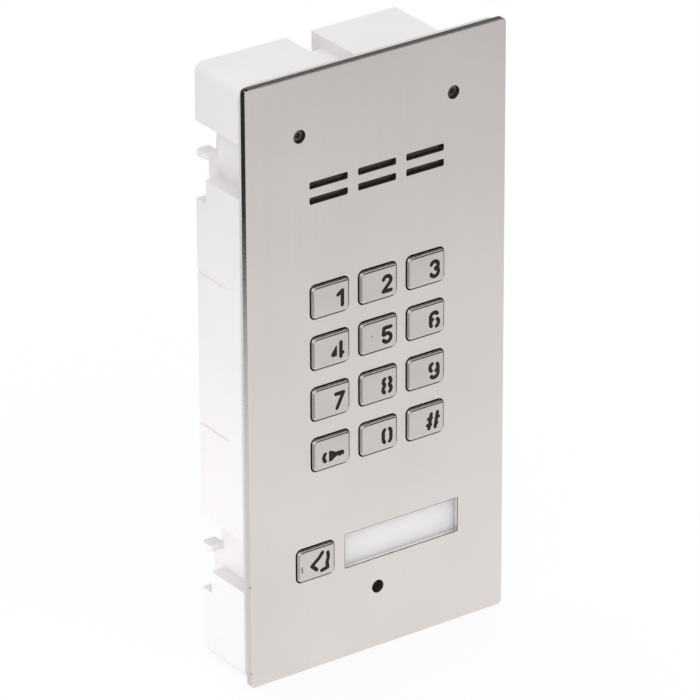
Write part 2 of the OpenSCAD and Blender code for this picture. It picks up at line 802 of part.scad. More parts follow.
module key_housing() {
    color("#1d1d1e") difference() {
        union() {
            deep(plate_t, d_housing_end) translate([0, board_z]) square([housing_w, board_h], center = true);
            for (p = BOARD_STUDS) rod(p[0], p[1], stud_boss_r, plate_t, d_board);
        }
        for (i = [0 : CALL]) at(key_at(i)) {
            deep(plate_t - past, d_housing_end - well_floor_t) square([well_w, well_h], center = true);
            rod(0, 0, stem_bore_r, plate_t, d_housing_end + past);
            deep(plate_t, d_housing_end + past) translate([0, light_offset])
                square([light_w + 2 * light_window_gap, light_h + 2 * light_window_gap], center = true);
        }
        deep(plate_t - past, d_housing_end + past) translate([name_x, call_z])
            square([name_flange_w + 2 * fit, name_flange_h + 2 * fit], center = true);
        rod(0, mic_z, boot_r + fit, plate_t - past, d_housing_end + past);
        for (p = BOARD_STUDS) rod(p[0], p[1], stud_r + fit, plate_t - past, d_board + past);
    }
}

module circuit_board() {
    color(BOARD) deep(d_board, d_board_end) difference() {
        translate([0, board_z]) square([board_w, board_h], center = true);
        for (p = BOARD_STUDS) translate(p) circle(stud_r + fit);
    }
}

module key_switches() {
    color("#3a3a3c") for (i = [0 : CALL]) at(key_at(i)) difference() {
        deep(d_switch, d_board) square(switch_w, center = true);
        rod(0, 0, stem_bore_r, d_switch - past, d_stem_end + key_travel + slide_gap);
    }
}

module board_lights() {
    lens = 0.5;
    color("#f4efd0") {
        for (i = [0 : CALL]) at(key_at(i)) deep(d_board - light_t, d_board) translate([0, light_offset])
            square([light_w, light_h], center = true);
        for (c = [-1, 0, 1]) {
            x = name_x + c * name_w / 3;
            deep(d_board - light_t, d_board) translate([x, call_z]) square([light_w, light_h], center = true);
            rod(x, call_z, light_h / 3, d_board - light_t - lens, d_board);
        }
    }
}

module name_window() {
    color("#e8eef2", 0.5) {
        deep(name_recess, d_card) translate([name_x, call_z])
            square([name_w - 2 * name_gap, name_h - 2 * name_gap], center = true);
        deep(plate_t, d_card) translate([name_x, call_z])
            square([name_flange_w, name_flange_h], center = true);
    }
}

module name_card() {
    color("white") deep(d_card, d_tray) translate([name_x, call_z])
        square([name_flange_w, name_flange_h], center = true);
}

module name_tray() {
    color("#efeee6") difference() {
        deep(d_tray, d_board) translate([name_x, call_z])
            square([name_flange_w, name_flange_h], center = true);
        deep(d_tray + tray_wall, d_board + past) translate([name_x, call_z])
            square([name_flange_w - 2 * tray_wall, name_flange_h - 2 * tray_wall], center = true);
    }
}

module speaker_mesh() {
    color("#141414") rod(0, speaker_z, mesh_r, plate_t, d_ring);
}

module speaker_ring() {
    color("#3b3b3d") turned(0, speaker_z) translate([speaker_r - ring_w, d_ring]) square([ring_w, ring_t]);
}

module speaker_frame() {
    throat = magnet_r - basket_skin;
    inner = speaker_r - flange_w;
    color(ZINC) turned(0, speaker_z) polygon([[inner, d_flange], [speaker_r, d_flange],
        [speaker_r, d_flange_end], [inner + basket_skin, d_flange_end],
        [magnet_r, d_basket_end - basket_skin], [magnet_r, d_basket_end],
        [coil_r, d_basket_end], [coil_r, d_basket_end - basket_skin], [throat, d_basket_end - basket_skin],
        [inner, d_flange_end]]);
}

module speaker_cone() {
    rim = speaker_r - ring_w - fit;
    fold = speaker_r - flange_w - 2 * fit;
    d_fold = d_flange - surround_t;
    d_coil = d_basket_end - basket_skin - cone_end_gap;
    color("#26241f") turned(0, speaker_z) polygon([[0, d_coil], [coil_r, d_coil],
        [fold - cone_skin, d_fold], [rim, d_fold], [rim, d_flange], [fold, d_flange],
        [coil_r, d_coil + cone_skin], [0, d_coil + cone_skin]]);
}

module speaker_magnet() {
    color("#4a4a4d") rod(0, speaker_z, magnet_r, d_basket_end, d_basket_end + magnet_t);
}

module speaker_clips() {
    color(ZINC) for (side = [0, 1]) mirror([side, 0, 0]) difference() {
        union() {
            brick(speaker_r - clip_bite, clip_reach + clip_heel, d_flange_end, d_clip_end,
                speaker_z - clip_w / 2, speaker_z + clip_w / 2);
            brick(clip_reach, clip_reach + clip_heel, plate_t, d_clip_end,
                speaker_z - clip_w / 2, speaker_z + clip_w / 2);
        }
        rod(clip_stud_x, speaker_z, stud_r + fit, plate_t, d_clip_end + past);
    }
}

// Pair of short wires from the loudspeaker's flange down to the board's rear face
module speaker_leads() {
    d_end = d_board_end + wire_r;
    color("#8c2b22") for (x = [-wire_gap / 2, wire_gap / 2]) {
        rod(x, tag_z, wire_r, d_flange_end, d_end);
        translate([x, y_of(d_end), board_top - wire_drop])
            cylinder(r = wire_r, h = tag_z - board_top + wire_drop);
        translate([x, y_of(d_end), tag_z]) sphere(wire_r);
    }
}

module microphone_boot() {
    d_face = plate_t + boot_face_t;
    color("#222222") difference() {
        rod(0, mic_z, boot_r, plate_t, d_face + mic_len);
        rod(0, mic_z, mic_hole_r, plate_t - past, d_face + past);
        rod(0, mic_z, mic_r, d_face, d_face + mic_len + past);
    }
}

module microphone() {
    d_face = plate_t + boot_face_t;
    color("#8d8f92") {
        rod(0, mic_z, mic_r, d_face, d_face + mic_len);
        for (side = [-1, 1]) rod(side * mic_pin_gap / 2, mic_z, mic_pin_r, d_face, d_board);
    }
}

module plate_studs() {
    color(ZINC) {
        for (p = BOARD_STUDS) rod(p[0], p[1], stud_r, plate_t, d_stud_end);
        for (p = SPEAKER_STUDS) rod(p[0], p[1], stud_r, plate_t, d_clip_end + nut_t + stud_tip);
    }
}

module stud_nut(p, d0) {
    at(p) difference() {
        deep(d0, d0 + nut_t) circle(nut_r, $fn = 6);
        rod(0, 0, stud_r + fit / 2, d0 - past, d0 + nut_t + past);
    }
}

module stud_nuts() {
    color(BRASS) {
        for (p = BOARD_STUDS) stud_nut(p, d_board_end);
        for (p = SPEAKER_STUDS) stud_nut(p, d_clip_end);
    }
}

module terminal_place(k) {
    translate([(k - (terminal_ways - 1) / 2) * terminal_pitch, 0, 0]) children();
}

module terminal_block() {
    z0 = terminal_z - terminal_h / 2;
    d_end = d_board_end + terminal_t;
    color("#2e7d4f") difference() {
        brick(-terminal_w / 2, terminal_w / 2, d_board_end, d_end, z0, z0 + terminal_h);
        for (k = [0 : terminal_ways - 1]) terminal_place(k) {
            rod(0, terminal_z, terminal_screw_r + fit, d_end - terminal_screw_drop, d_end + past);
            translate([0, y_of(d_board_end + terminal_t / 2), terminal_z])
                cylinder(r = terminal_wire_r, h = terminal_h);
        }
    }
}

module terminal_screws() {
    d_end = d_board_end + terminal_t;
    slot = 0.5;
    color(ZINC) for (k = [0 : terminal_ways - 1]) terminal_place(k) difference() {
        rod(0, terminal_z, terminal_screw_r, d_end - terminal_screw_drop, d_end - slot);
        brick(-terminal_screw_r - past, terminal_screw_r + past, d_end - 2 * slot, d_end + past,
            terminal_z - slot / 2, terminal_z + slot / 2);
    }
}

module lock_relay() {
    lid = 0.6;
    color("#2b4a8b") {
        brick(relay_x - relay_w / 2, relay_x + relay_w / 2, d_board_end, d_board_end + relay_t - lid,
            relay_z - relay_h / 2, relay_z + relay_h / 2);
        brick(relay_x - relay_w / 2 + lid, relay_x + relay_w / 2 - lid, d_board_end,
            d_board_end + relay_t, relay_z - relay_h / 2 + lid, relay_z + relay_h / 2 - lid);
    }
}

module controller_chip() {
    lead_pitch = chip_w / (chip_leads + 1);
    mark_r = 0.6;
    mark_depth = 0.2;
    mark_x = chip_w / 2 - 2 * mark_r;
    d_end = d_board_end + chip_t;
    color("#1b1b1d") translate([chip_x, 0, chip_z]) difference() {
        union() {
            deep(d_board_end, d_end) square(chip_w, center = true);
            deep(d_board_end, d_board_end + lead_w)
                for (turn = [0 : 90 : 270], k = [1 : chip_leads])
                    rotate(turn) translate([chip_w / 2, k * lead_pitch - chip_w / 2])
                        square([2 * lead_len, lead_w], center = true);
        }
        rod(-mark_x, mark_x, mark_r, d_end - mark_depth, d_end + past);
    }
}

module amplifier_chip() {
    lead_span = amp_h + 2 * lead_len;
    color("#1b1b1d") translate([amp_x, 0, amp_z]) {
        deep(d_board_end, d_board_end + amp_t) square([amp_w, amp_h], center = true);
        deep(d_board_end, d_board_end + amp_t / 2)
            for (k = [0 : amp_leads - 1])
                translate([(k - (amp_leads - 1) / 2) * amp_lead_pitch, 0])
                    square([lead_w, lead_span], center = true);
    }
}

module capacitors() {
    d_end = d_board_end + cap_can_h;
    neck_r = cap_can_r - cap_can_groove;
    color("#23335e") for (k = [0 : cap_cans - 1]) turned(cap_can_x + (k - 1) * cap_can_pitch, cap_can_z)
        polygon([[0, d_board_end], [cap_can_r, d_board_end], [cap_can_r, d_board_end + cap_can_h / 6],
            [neck_r, d_board_end + cap_can_h / 5], [cap_can_r, d_board_end + cap_can_h / 4],
            [cap_can_r, d_end - cap_can_groove], [neck_r, d_end], [0, d_end]]);
}

front_plate();
plate_gasket();
back_box();
cable_grommet();
fixing_screws();
screw_pads();
threaded_inserts();
bottom_hooks();
key_housing();
key_cap(0);  // key_1
key_cap(1);  // key_2
key_cap(2);  // key_3
key_cap(3);  // key_4
key_cap(4);  // key_5
key_cap(5);  // key_6
key_cap(6);  // key_7
key_cap(7);  // key_8
key_cap(8);  // key_9
key_cap(9);  // key_latch
key_cap(10);  // key_0
key_cap(11);  // key_hash
key_cap(CALL);  // call_button
key_core(0);  // core_1
key_core(1);  // core_2
key_core(2);  // core_3
key_core(3);  // core_4
key_core(4);  // core_5
key_core(5);  // core_6
key_core(6);  // core_7
key_core(7);  // core_8
key_core(8);  // core_9
key_core(9);  // core_latch
key_core(10);  // core_0
key_core(11);  // core_hash
key_core(CALL);  // core_call
circuit_board();
key_switches();
board_lights();
name_window();
name_card();
name_tray();
speaker_frame();
speaker_cone();
speaker_magnet();
speaker_ring();
speaker_mesh();
speaker_clips();
speaker_leads();
microphone();
microphone_boot();
plate_studs();
stud_nuts();
terminal_block();
terminal_screws();
lock_relay();
controller_chip();
amplifier_chip();
capacitors();
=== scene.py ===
"""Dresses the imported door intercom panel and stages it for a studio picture.

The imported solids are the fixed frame. The plate, the caps, the box and the other pieces that show
are rebuilt as finer meshes over their solids, and what the box hides keeps its solid and gets its finish.
"""
import logging
import math
from dataclasses import dataclass
from enum import Enum

import bmesh
import bpy
from mathutils import Matrix, Vector


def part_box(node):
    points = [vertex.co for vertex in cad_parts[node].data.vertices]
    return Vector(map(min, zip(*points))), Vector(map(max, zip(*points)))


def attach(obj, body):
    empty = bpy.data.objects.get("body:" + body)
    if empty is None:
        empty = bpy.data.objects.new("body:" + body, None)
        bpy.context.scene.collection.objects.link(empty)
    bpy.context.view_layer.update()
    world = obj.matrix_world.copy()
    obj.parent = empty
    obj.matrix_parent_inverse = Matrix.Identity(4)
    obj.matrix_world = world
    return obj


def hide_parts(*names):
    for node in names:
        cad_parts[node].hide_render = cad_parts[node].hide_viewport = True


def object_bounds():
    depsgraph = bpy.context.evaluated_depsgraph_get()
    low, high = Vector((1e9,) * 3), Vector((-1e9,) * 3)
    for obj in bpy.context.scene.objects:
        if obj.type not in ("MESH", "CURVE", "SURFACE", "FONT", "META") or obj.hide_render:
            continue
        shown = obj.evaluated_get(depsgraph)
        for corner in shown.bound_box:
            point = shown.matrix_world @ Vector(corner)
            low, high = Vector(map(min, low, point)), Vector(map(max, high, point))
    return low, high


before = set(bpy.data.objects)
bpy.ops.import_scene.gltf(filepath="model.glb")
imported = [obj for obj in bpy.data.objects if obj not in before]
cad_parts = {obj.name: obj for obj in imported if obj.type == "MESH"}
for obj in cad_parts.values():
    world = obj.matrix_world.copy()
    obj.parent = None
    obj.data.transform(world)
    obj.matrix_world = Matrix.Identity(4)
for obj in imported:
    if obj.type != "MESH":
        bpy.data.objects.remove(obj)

LOG = logging.getLogger("intercom_panel")
MM = 0.001
CAD_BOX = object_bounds()
IMAGE_SIDE = 700
PANEL = "panel"
NOISE_LOW, NOISE_HIGH = 0.3, 0.7

Colour = tuple[float, float, float]
Point = tuple[float, float, float]
Plane = tuple[Vector, float]
Socket = bpy.types.NodeSocket
Node = bpy.types.Node
Material = bpy.types.Material
Mesh = bpy.types.Mesh
Piece = bpy.types.Object


class Slot(Enum):
    """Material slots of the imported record."""

    PLATE = "plate_steel"
    KEY = "key_steel"
    GASKET = "gasket_foam"
    BOX = "box_plastic"
    RUBBER = "black_rubber"
    ZINC = "zinc_steel"
    BLACKENED = "black_steel"
    BRASS = "brass"
    BLACK = "black_plastic"
    CORE = "core_plastic"
    BOARD = "board_green"
    LAMP = "lamp_resin"
    CLEAR = "clear_insert"
    CARD = "card_paper"
    TRAY = "tray_plastic"
    CONE = "cone_paper"
    MAGNET = "magnet_iron"
    RING = "ring_foam"
    MESH = "mesh_cloth"
    LEAD = "lead_insulation"
    CAPSULE = "capsule_metal"
    TERMINAL = "terminal_plastic"
    RELAY = "relay_plastic"
    CHIP = "chip_resin"
    CAN = "can_sleeve"


class Key(Enum):
    """Buttons of the panel: cap node, core node and body share the ending."""

    ONE = "1"
    TWO = "2"
    THREE = "3"
    FOUR = "4"
    FIVE = "5"
    SIX = "6"
    SEVEN = "7"
    EIGHT = "8"
    NINE = "9"
    LATCH = "latch"
    ZERO = "0"
    HASH = "hash"
    CALL = "call"

    @property
    def cap(self) -> str:
        """Name of the cap's node."""
        return "call_button" if self is Key.CALL else f"key_{self.value}"

    @property
    def core(self) -> str:
        """Name of the core's node."""
        return f"core_{self.value}"

    @property
    def body(self) -> str:
        """Name of the body that moves."""
        return f"button_{self.value}"


class NodeBench:
    """Adds nodes to a tree and joins their sockets."""

    MIX_SHARE, MIX_FIRST, MIX_SECOND, MIX_RESULT = 0, 6, 7, 2

    def __init__(self, tree: bpy.types.NodeTree) -> None:
        """Keeps the shader or geometry tree to work on."""
        self.tree = tree

    def add(self, kind: str, **values: object) -> Node:
        """Adds a node.

        Args:
            kind: Blender's name of the node type.
            values: Node properties, or values and sockets for its inputs, whose names have _ for a space.

        Returns:
            The new node.
        """
        node = self.tree.nodes.new(kind)
        for name, value in values.items():
            if node.inputs.get(name.replace("_", " ")) is not None and not hasattr(node, name):
                self.fill(node, **{name: value})
            else:
                setattr(node, name, value)
        return node

    def fill(self, node: Node, **values: object) -> None:
        """Feeds a node's inputs from values and sockets, whose names have _ for a space."""
        for name, value in values.items():
            self.feed(value, node.inputs[name.replace("_", " ")])

    def join(self, source: Socket, target: Socket) -> None:
        """Links two sockets."""
        self.tree.links.new(source, target)

    def feed(self, term: object, target: Socket) -> None:
        """Links an input to a socket, or sets it to a plain value.

        Args:
            term: Socket or value.
            target: Input that takes it.
        """
        if isinstance(term, Socket):
            self.join(term, target)
        else:
            target.default_value = term

    def result(self, kind: str, terms: tuple[object, ...], **values: object) -> Socket:
        """Adds a node and feeds its inputs in order.

        Args:
            kind: Blender's name of the node type.
            terms: Numbers, vectors or sockets.
            values: Node properties, as add takes them.

        Returns:
            The node's first output.
        """
        node = self.add(kind, **values)
        for target, term in zip(node.inputs, terms):
            self.feed(term, target)
        return node.outputs[0]

    def math(self, operation: str, *terms: object) -> Socket:
        """Adds a Math node for up to three numbers or sockets and gives its result."""
        return self.result("ShaderNodeMath", terms, operation=operation)

    def vector(self, operation: str, *terms: object) -> Socket:
        """Adds a Vector Math node for vectors or sockets and gives its vector."""
        return self.result("ShaderNodeVectorMath", terms, operation=operation)

    def xyz(self, *parts: object) -> Socket:
        """Adds a Combine XYZ node from numbers or sockets and gives its vector."""
        return self.result("ShaderNodeCombineXYZ", parts)

    def scaled(self, source: Socket, factor: object) -> Socket:
        """Multiplies a vector or colour by a number or socket."""
        return self.add("ShaderNodeVectorMath", operation="SCALE", Vector=source, Scale=factor).outputs[0]

    def split(self, source: Socket) -> bpy.types.NodeOutputs:
        """Splits a vector into its parts, under X, Y and Z."""
        return self.add("ShaderNodeSeparateXYZ", Vector=source).outputs

    def spot(self) -> Socket:
        """Gives the place on the object, in its own coordinates."""
        return self.add("ShaderNodeTexCoord").outputs["Object"]

    def ramp(self, source: Socket, low: float, high: float, start: float = 0.0, end: float = 1.0) -> Socket:
        """Maps a value from one range onto another.

        Args:
            source: Value to map.
            low: Result at the start.
            high: Result at the end.
            start: Value that gives low.
            end: Value that gives high.

        Returns:
            The mapped value.
        """
        node = self.add("ShaderNodeMapRange", Value=source, From_Min=start, From_Max=end, To_Min=low,
                        To_Max=high)
        return node.outputs["Result"]

    def blend(self, share: Socket, first: object, second: object) -> Socket:
        """Mixes two colours by a share.

        Args:
            share: Share of the second colour.
            first: Colour or socket at 0.
            second: Colour or socket at 1.

        Returns:
            The mixed colour.
        """
        node = self.add("ShaderNodeMix", data_type="RGBA")
        self.join(share, node.inputs[self.MIX_SHARE])
        for place, value in ((self.MIX_FIRST, first), (self.MIX_SECOND, second)):
            self.feed(value if isinstance(value, Socket) else (*value, 1.0), node.inputs[place])
        return node.outputs[self.MIX_RESULT]


class Effect(Enum):
    """Surface effects that several finishes share, each one shader node group."""

    BRUSHED = "brushed_lines"
    CLOUDS = "soft_clouds"
    GRAIN = "moulded_grain"


class EffectShop:
    """Builds each shared effect once and places it in materials."""

    STREAK_WIDTH = 0.16
    GRAIN_SPREAD = 4.0
    GRAIN_WAVES = 0.6

    def __init__(self) -> None:
        """Starts with no groups."""
        self.groups: dict[Effect, bpy.types.NodeTree] = {}

    def group(self, effect: Effect) -> bpy.types.NodeTree:
        """Gives an effect's node group.

        Args:
            effect: Which effect.

        Returns:
            The group, built on first use.
        """
        if effect not in self.groups:
            makers = {Effect.BRUSHED: self._brushed, Effect.CLOUDS: self._clouds, Effect.GRAIN: self._grain}
            self.groups[effect] = makers[effect]()
        return self.groups[effect]

    def place(self, bench: NodeBench, effect: Effect, **values: float) -> Node:
        """Places an effect in a material, on the object's own coordinates.

        Args:
            bench: The material's nodes.
            effect: Which effect.
            values: The group's inputs.

        Returns:
            The group node.
        """
        node = bench.add("ShaderNodeGroup", node_tree=self.group(effect))
        bench.fill(node, Place=bench.spot(), **values)
        return node

    @staticmethod
    def _new(effect: Effect, inputs: tuple[str, ...],
             outputs: tuple[str, ...]) -> tuple[NodeBench, bpy.types.NodeOutputs, bpy.types.NodeInputs]:
        """Makes an empty group with its sockets.

        Args:
            effect: Effect that names the group.
            inputs: Names of its number inputs.
            outputs: Names of its number outputs.

        Returns:
            The bench, the group's input sockets and its output sockets, by name.
        """
        tree = bpy.data.node_groups.new(effect.value, "ShaderNodeTree")
        tree.interface.new_socket("Place", in_out="INPUT", socket_type="NodeSocketVector")
        for name in inputs:
            tree.interface.new_socket(name, in_out="INPUT", socket_type="NodeSocketFloat")
        for name in outputs:
            tree.interface.new_socket(name, in_out="OUTPUT", socket_type="NodeSocketFloat")
        bench = NodeBench(tree)
        given = bench.add("NodeGroupInput").outputs
        made = bench.add("NodeGroupOutput").inputs
        return bench, given, made

    def _brushed(self) -> bpy.types.NodeTree:
        """Makes lines that run up the piece: their height, and broad streaks of shade.

        Returns:
            The group.
        """
        bench, given, made = self._new(Effect.BRUSHED, ("Along", "Across"), ("Height", "Streak"))
        spread = bench.xyz(given["Across"], given["Across"], given["Along"])
        fine = bench.vector("MULTIPLY", given["Place"], spread)
        lines = bench.add("ShaderNodeTexNoise", Vector=fine, Scale=1.0, Detail=4.0, Roughness=0.62)
        broad = bench.scaled(fine, self.STREAK_WIDTH)
        streaks = bench.add("ShaderNodeTexNoise", Vector=broad, Scale=1.0, Detail=2.0, Roughness=0.5)
        bench.join(lines.outputs[0], made["Height"])
        bench.join(streaks.outputs[0], made["Streak"])
        return bench.tree

    def _clouds(self) -> bpy.types.NodeTree:
        """Makes soft patches of shade.

        Returns:
            The group.
        """
        bench, given, made = self._new(Effect.CLOUDS, ("Density",), ("Shade",))
        noise = bench.add("ShaderNodeTexNoise", Vector=given["Place"], Scale=given["Density"], Detail=2.0,
                          Roughness=0.45)
        bench.join(bench.ramp(noise.outputs[0], 0.0, 1.0, NOISE_LOW, NOISE_HIGH), made["Shade"])
        return bench.tree

    def _grain(self) -> bpy.types.NodeTree:
        """Makes the fine pebbled grain of a moulded or foamed surface.

        Returns:
            The group.
        """
        bench, given, made = self._new(Effect.GRAIN, ("Density",), ("Height",))
        cells = bench.add("ShaderNodeTexVoronoi", feature="SMOOTH_F1", Vector=given["Place"],
                          Scale=given["Density"])
        broad = bench.math("MULTIPLY", given["Density"], 1.0 / self.GRAIN_SPREAD)
        noise = bench.add("ShaderNodeTexNoise", Vector=given["Place"], Scale=broad, Detail=3.0, Roughness=0.6)
        height = bench.math("MULTIPLY_ADD", noise.outputs[0], self.GRAIN_WAVES, cells.outputs[0])
        bench.join(height, made["Height"])
        return bench.tree


EFFECTS = EffectShop()


def new_material(name: str) -> tuple[Material, NodeBench, Node]:
    """Makes a material with one Principled shader.

    Args:
        name: Name of the material.

    Returns:
        The material, its bench and the shader node.
    """
    material = bpy.data.materials.new(name)
    material.use_nodes = True
    bench = NodeBench(material.node_tree)
    return material, bench, material.node_tree.nodes["Principled BSDF"]


def mix_surfaces(bench: NodeBench, share: Socket, first: Node, second: Node) -> None:
    """Mixes two shaders and makes the result the material's surface.

    Args:
        bench: The material's nodes.
        share: Share of the second shader.
        first: Shader at 0.
        second: Shader at 1.
    """
    mix = bench.add("ShaderNodeMixShader")
    for place, source in enumerate((share, first.outputs[0], second.outputs[0])):
        bench.join(source, mix.inputs[place])
    bench.join(mix.outputs[0], bench.tree.nodes["Material Output"].inputs["Surface"])


def add_relief(bench: NodeBench, shader: Node, height: Socket, depth: float) -> None:
    """Raises a surface by a height.

    Args:
        bench: The material's nodes.
        shader: Its Principled shader.
        height: Height from 0 to 1.
        depth: Real depth in metres.
    """
    bump = bench.add("ShaderNodeBump", Strength=1.0, Distance=depth, Height=height)
    bench.join(bump.outputs["Normal"], shader.inputs["Normal"])


def shaded(colour: Colour, share: float) -> Colour:
    """Makes a colour lighter or darker.

    Args:
        colour: Colour to start from.
        share: Share by which it gets lighter, or darker below 0.

    Returns:
        The new colour.
    """
    return tuple(min(1.0, channel * (1.0 + share)) for channel in colour)


def clouded(bench: NodeBench, clouds: Node, colour: Colour, spread: float) -> Socket:
    """Makes a colour that gets lighter and darker in soft patches.

    Args:
        bench: The material's nodes.
        clouds: The placed patches.
        colour: Middle colour.
        spread: Share by which it changes to either side.

    Returns:
        The colour.
    """
    return bench.blend(clouds.outputs["Shade"], shaded(colour, -spread), shaded(colour, spread))


def streaked(bench: NodeBench, brushed: Node, middle: float, spread: float) -> Socket:
    """Makes a value that follows the streaks of the brushing.

    Args:
        bench: The material's nodes.
        brushed: The placed brushing.
        middle: Middle value.
        spread: By how much it changes to either side.

    Returns:
        The value.
    """
    return bench.ramp(brushed.outputs["Streak"], middle - spread, middle + spread, NOISE_LOW, NOISE_HIGH)


def brushed_face(bench: NodeBench, finish: "SteelFinish | PlateFinish") -> tuple[Socket, ...]:
    """Makes the look of a brushed face.

    Args:
        bench: The material's nodes.
        finish: Finish that gives the colour, the brushing and the spreads.

    Returns:
        Its colour, its roughness, and its height from 0 to 1.
    """
    brushed = EFFECTS.place(bench, Effect.BRUSHED, Along=finish.along, Across=finish.across)
    clouds = EFFECTS.place(bench, Effect.CLOUDS, Density=finish.cloud_density)
    patches = clouded(bench, clouds, finish.colour, finish.cloud)
    colour = bench.scaled(patches, streaked(bench, brushed, 1.0, finish.streak))
    roughness = streaked(bench, brushed, finish.roughness, finish.roughness_spread)
    return colour, roughness, brushed.outputs["Height"]


@dataclass(frozen=True)
class SteelFinish:
    """Brushed or satin metal."""

    name: str
    colour: Colour
    roughness: float
    along: float = 60.0
    across: float = 9000.0
    depth: float = 0.0000015
    cloud: float = 0.03
    streak: float = 0.03
    roughness_spread: float = 0.05
    cloud_density: float = 22.0

    def make(self) -> Material:
        """Builds the material.

        Returns:
            The material.
        """
        material, bench, shader = new_material(self.name)
        colour, roughness, lines = brushed_face(bench, self)
        bench.fill(shader, Metallic=1.0, Base_Color=colour, Roughness=roughness)
        add_relief(bench, shader, lines, self.depth)
        return material


@dataclass(frozen=True)
class PlateFinish:
    """Brushed steel sheet with striated cut edges, painted shade on the walls of its holes and a painted
    highlight on the top and left walls of the name window.
    """

    name: str
    colour: Colour
    edge_colour: Colour
    # Painted shade: the dark colour given to the walls of the holes.
    hole_shade_colour: Colour
    window_low: tuple[float, float]
    window_high: tuple[float, float]
    half_width: float = 0.0495
    half_height: float = 0.1045
    roughness: float = 0.32
    roughness_spread: float = 0.04
    edge_roughness: float = 0.11
    edge_spread: float = 0.05
    hole_roughness: float = 0.7
    along: float = 60.0
    across: float = 7000.0
    depth: float = 0.000002
    cloud: float = 0.025
    streak: float = 0.012
    cloud_density: float = 26.0
    cut_along: float = 120.0
    cut_across: float = 1500.0
    cut_depth: float = 0.00006
    face_limit: float = 0.6
    # Painted highlight: which walls of the name window count as top and left, and the near-white colour they
    # take.
    lit_wall_limit: float = -0.5
    painted_light_colour: Colour = (0.97, 0.97, 0.97)

    def make(self) -> Material:
        """Builds the material.

        Returns:
            The material.
        """
        material, bench, shader = new_material(self.name)
        face, rough_face, lines = brushed_face(bench, self)
        where = bench.spot()
        stretched = bench.vector("MULTIPLY", where, (self.cut_across, self.cut_along, self.cut_across))
        cut = bench.add("ShaderNodeTexNoise", Vector=stretched, Scale=1.0, Detail=3.0, Roughness=0.6)
        normal = bench.split(bench.add("ShaderNodeNewGeometry").outputs["Normal"])
        edge = bench.math("LESS_THAN", bench.math("ABSOLUTE", normal["Y"]), self.face_limit)
        spot = bench.split(where)
        inward = bench.math("LESS_THAN", bench.math("ABSOLUTE", spot["X"]), self.half_width)
        midway = bench.math("LESS_THAN", bench.math("ABSOLUTE", spot["Z"]), self.half_height)
        window = self._window(bench, spot)
        hole = bench.math("SUBTRACT", bench.math("MULTIPLY", inward, midway), window)
        # The walls of the holes take a dark colour, painted shade for the gaps around the keys and inside the
        # holes.
        cut_colour = bench.blend(hole, self.edge_colour, self.hole_shade_colour)
        # The name window's top and left walls take a near-white colour, a painted highlight that lifts the
        # shade on the card behind the insert.
        facing = bench.math("SUBTRACT", normal["Z"], normal["X"])
        lit_walls = bench.math("MULTIPLY", window, bench.math("LESS_THAN", facing, self.lit_wall_limit))
        cut_colour = bench.blend(lit_walls, cut_colour, self.painted_light_colour)
        low, high = self.edge_roughness - self.edge_spread, self.edge_roughness + self.edge_spread
        rough_cut = bench.ramp(cut.outputs[0], low, high)
        rough_edge = bench.math("MAXIMUM", rough_cut, bench.math("MULTIPLY", hole, self.hole_roughness))
        spread = bench.math("SUBTRACT", rough_edge, rough_face)
        bench.fill(shader, Metallic=1.0, Base_Color=bench.blend(edge, face, cut_colour),
                   Roughness=bench.math("MULTIPLY_ADD", spread, edge, rough_face))
        face_height = bench.math("MULTIPLY", lines, self.depth / self.cut_depth)
        rise = bench.math("SUBTRACT", cut.outputs[0], face_height)
        add_relief(bench, shader, bench.math("MULTIPLY_ADD", rise, edge, face_height), self.cut_depth)
        return material

    def _window(self, bench: NodeBench, spot: bpy.types.NodeOutputs) -> Socket:
        """Marks the place of the name window, whose walls get no painted hole shade, and whose top and left
        walls get a painted highlight.

        Args:
            bench: The material's nodes.
            spot: Split place on the plate.

        Returns:
            1 inside the window, 0 elsewhere.
        """
        spans = []
        for axis, low, high in zip("XZ", self.window_low, self.window_high):
            above = bench.math("GREATER_THAN", spot[axis], low)
            below = bench.math("LESS_THAN", spot[axis], high)
            spans.append(bench.math("MULTIPLY", above, below))
        return bench.math("MULTIPLY", *spans)


@dataclass(frozen=True)
class MouldedFinish:
    """Moulded plastic, rubber or foam with a fine grain."""

    name: str
    colour: Colour
    roughness: float
    density: float = 2600.0
    depth: float = 0.00001
    tone: float = 0.04
    roughness_spread: float = 0.05
    least_roughness: float = 0.02
    coat: float = 0.0
    specular: float = 0.5
    cloud_density: float = 30.0

    def make(self) -> Material:
        """Builds the material.

        Returns:
            The material.
        """
        material, bench, shader = new_material(self.name)
        grain = EFFECTS.place(bench, Effect.GRAIN, Density=self.density)
        clouds = EFFECTS.place(bench, Effect.CLOUDS, Density=self.cloud_density)
        low = max(self.least_roughness, self.roughness - self.roughness_spread)
        high = min(1.0, self.roughness + self.roughness_spread)
        bench.fill(shader, Base_Color=clouded(bench, clouds, self.colour, self.tone),
                   Roughness=bench.ramp(clouds.outputs["Shade"], low, high), Coat_Weight=self.coat,
                   Specular_IOR_Level=self.specular)
        add_relief(bench, shader, grain.outputs["Height"], self.depth)
        return material


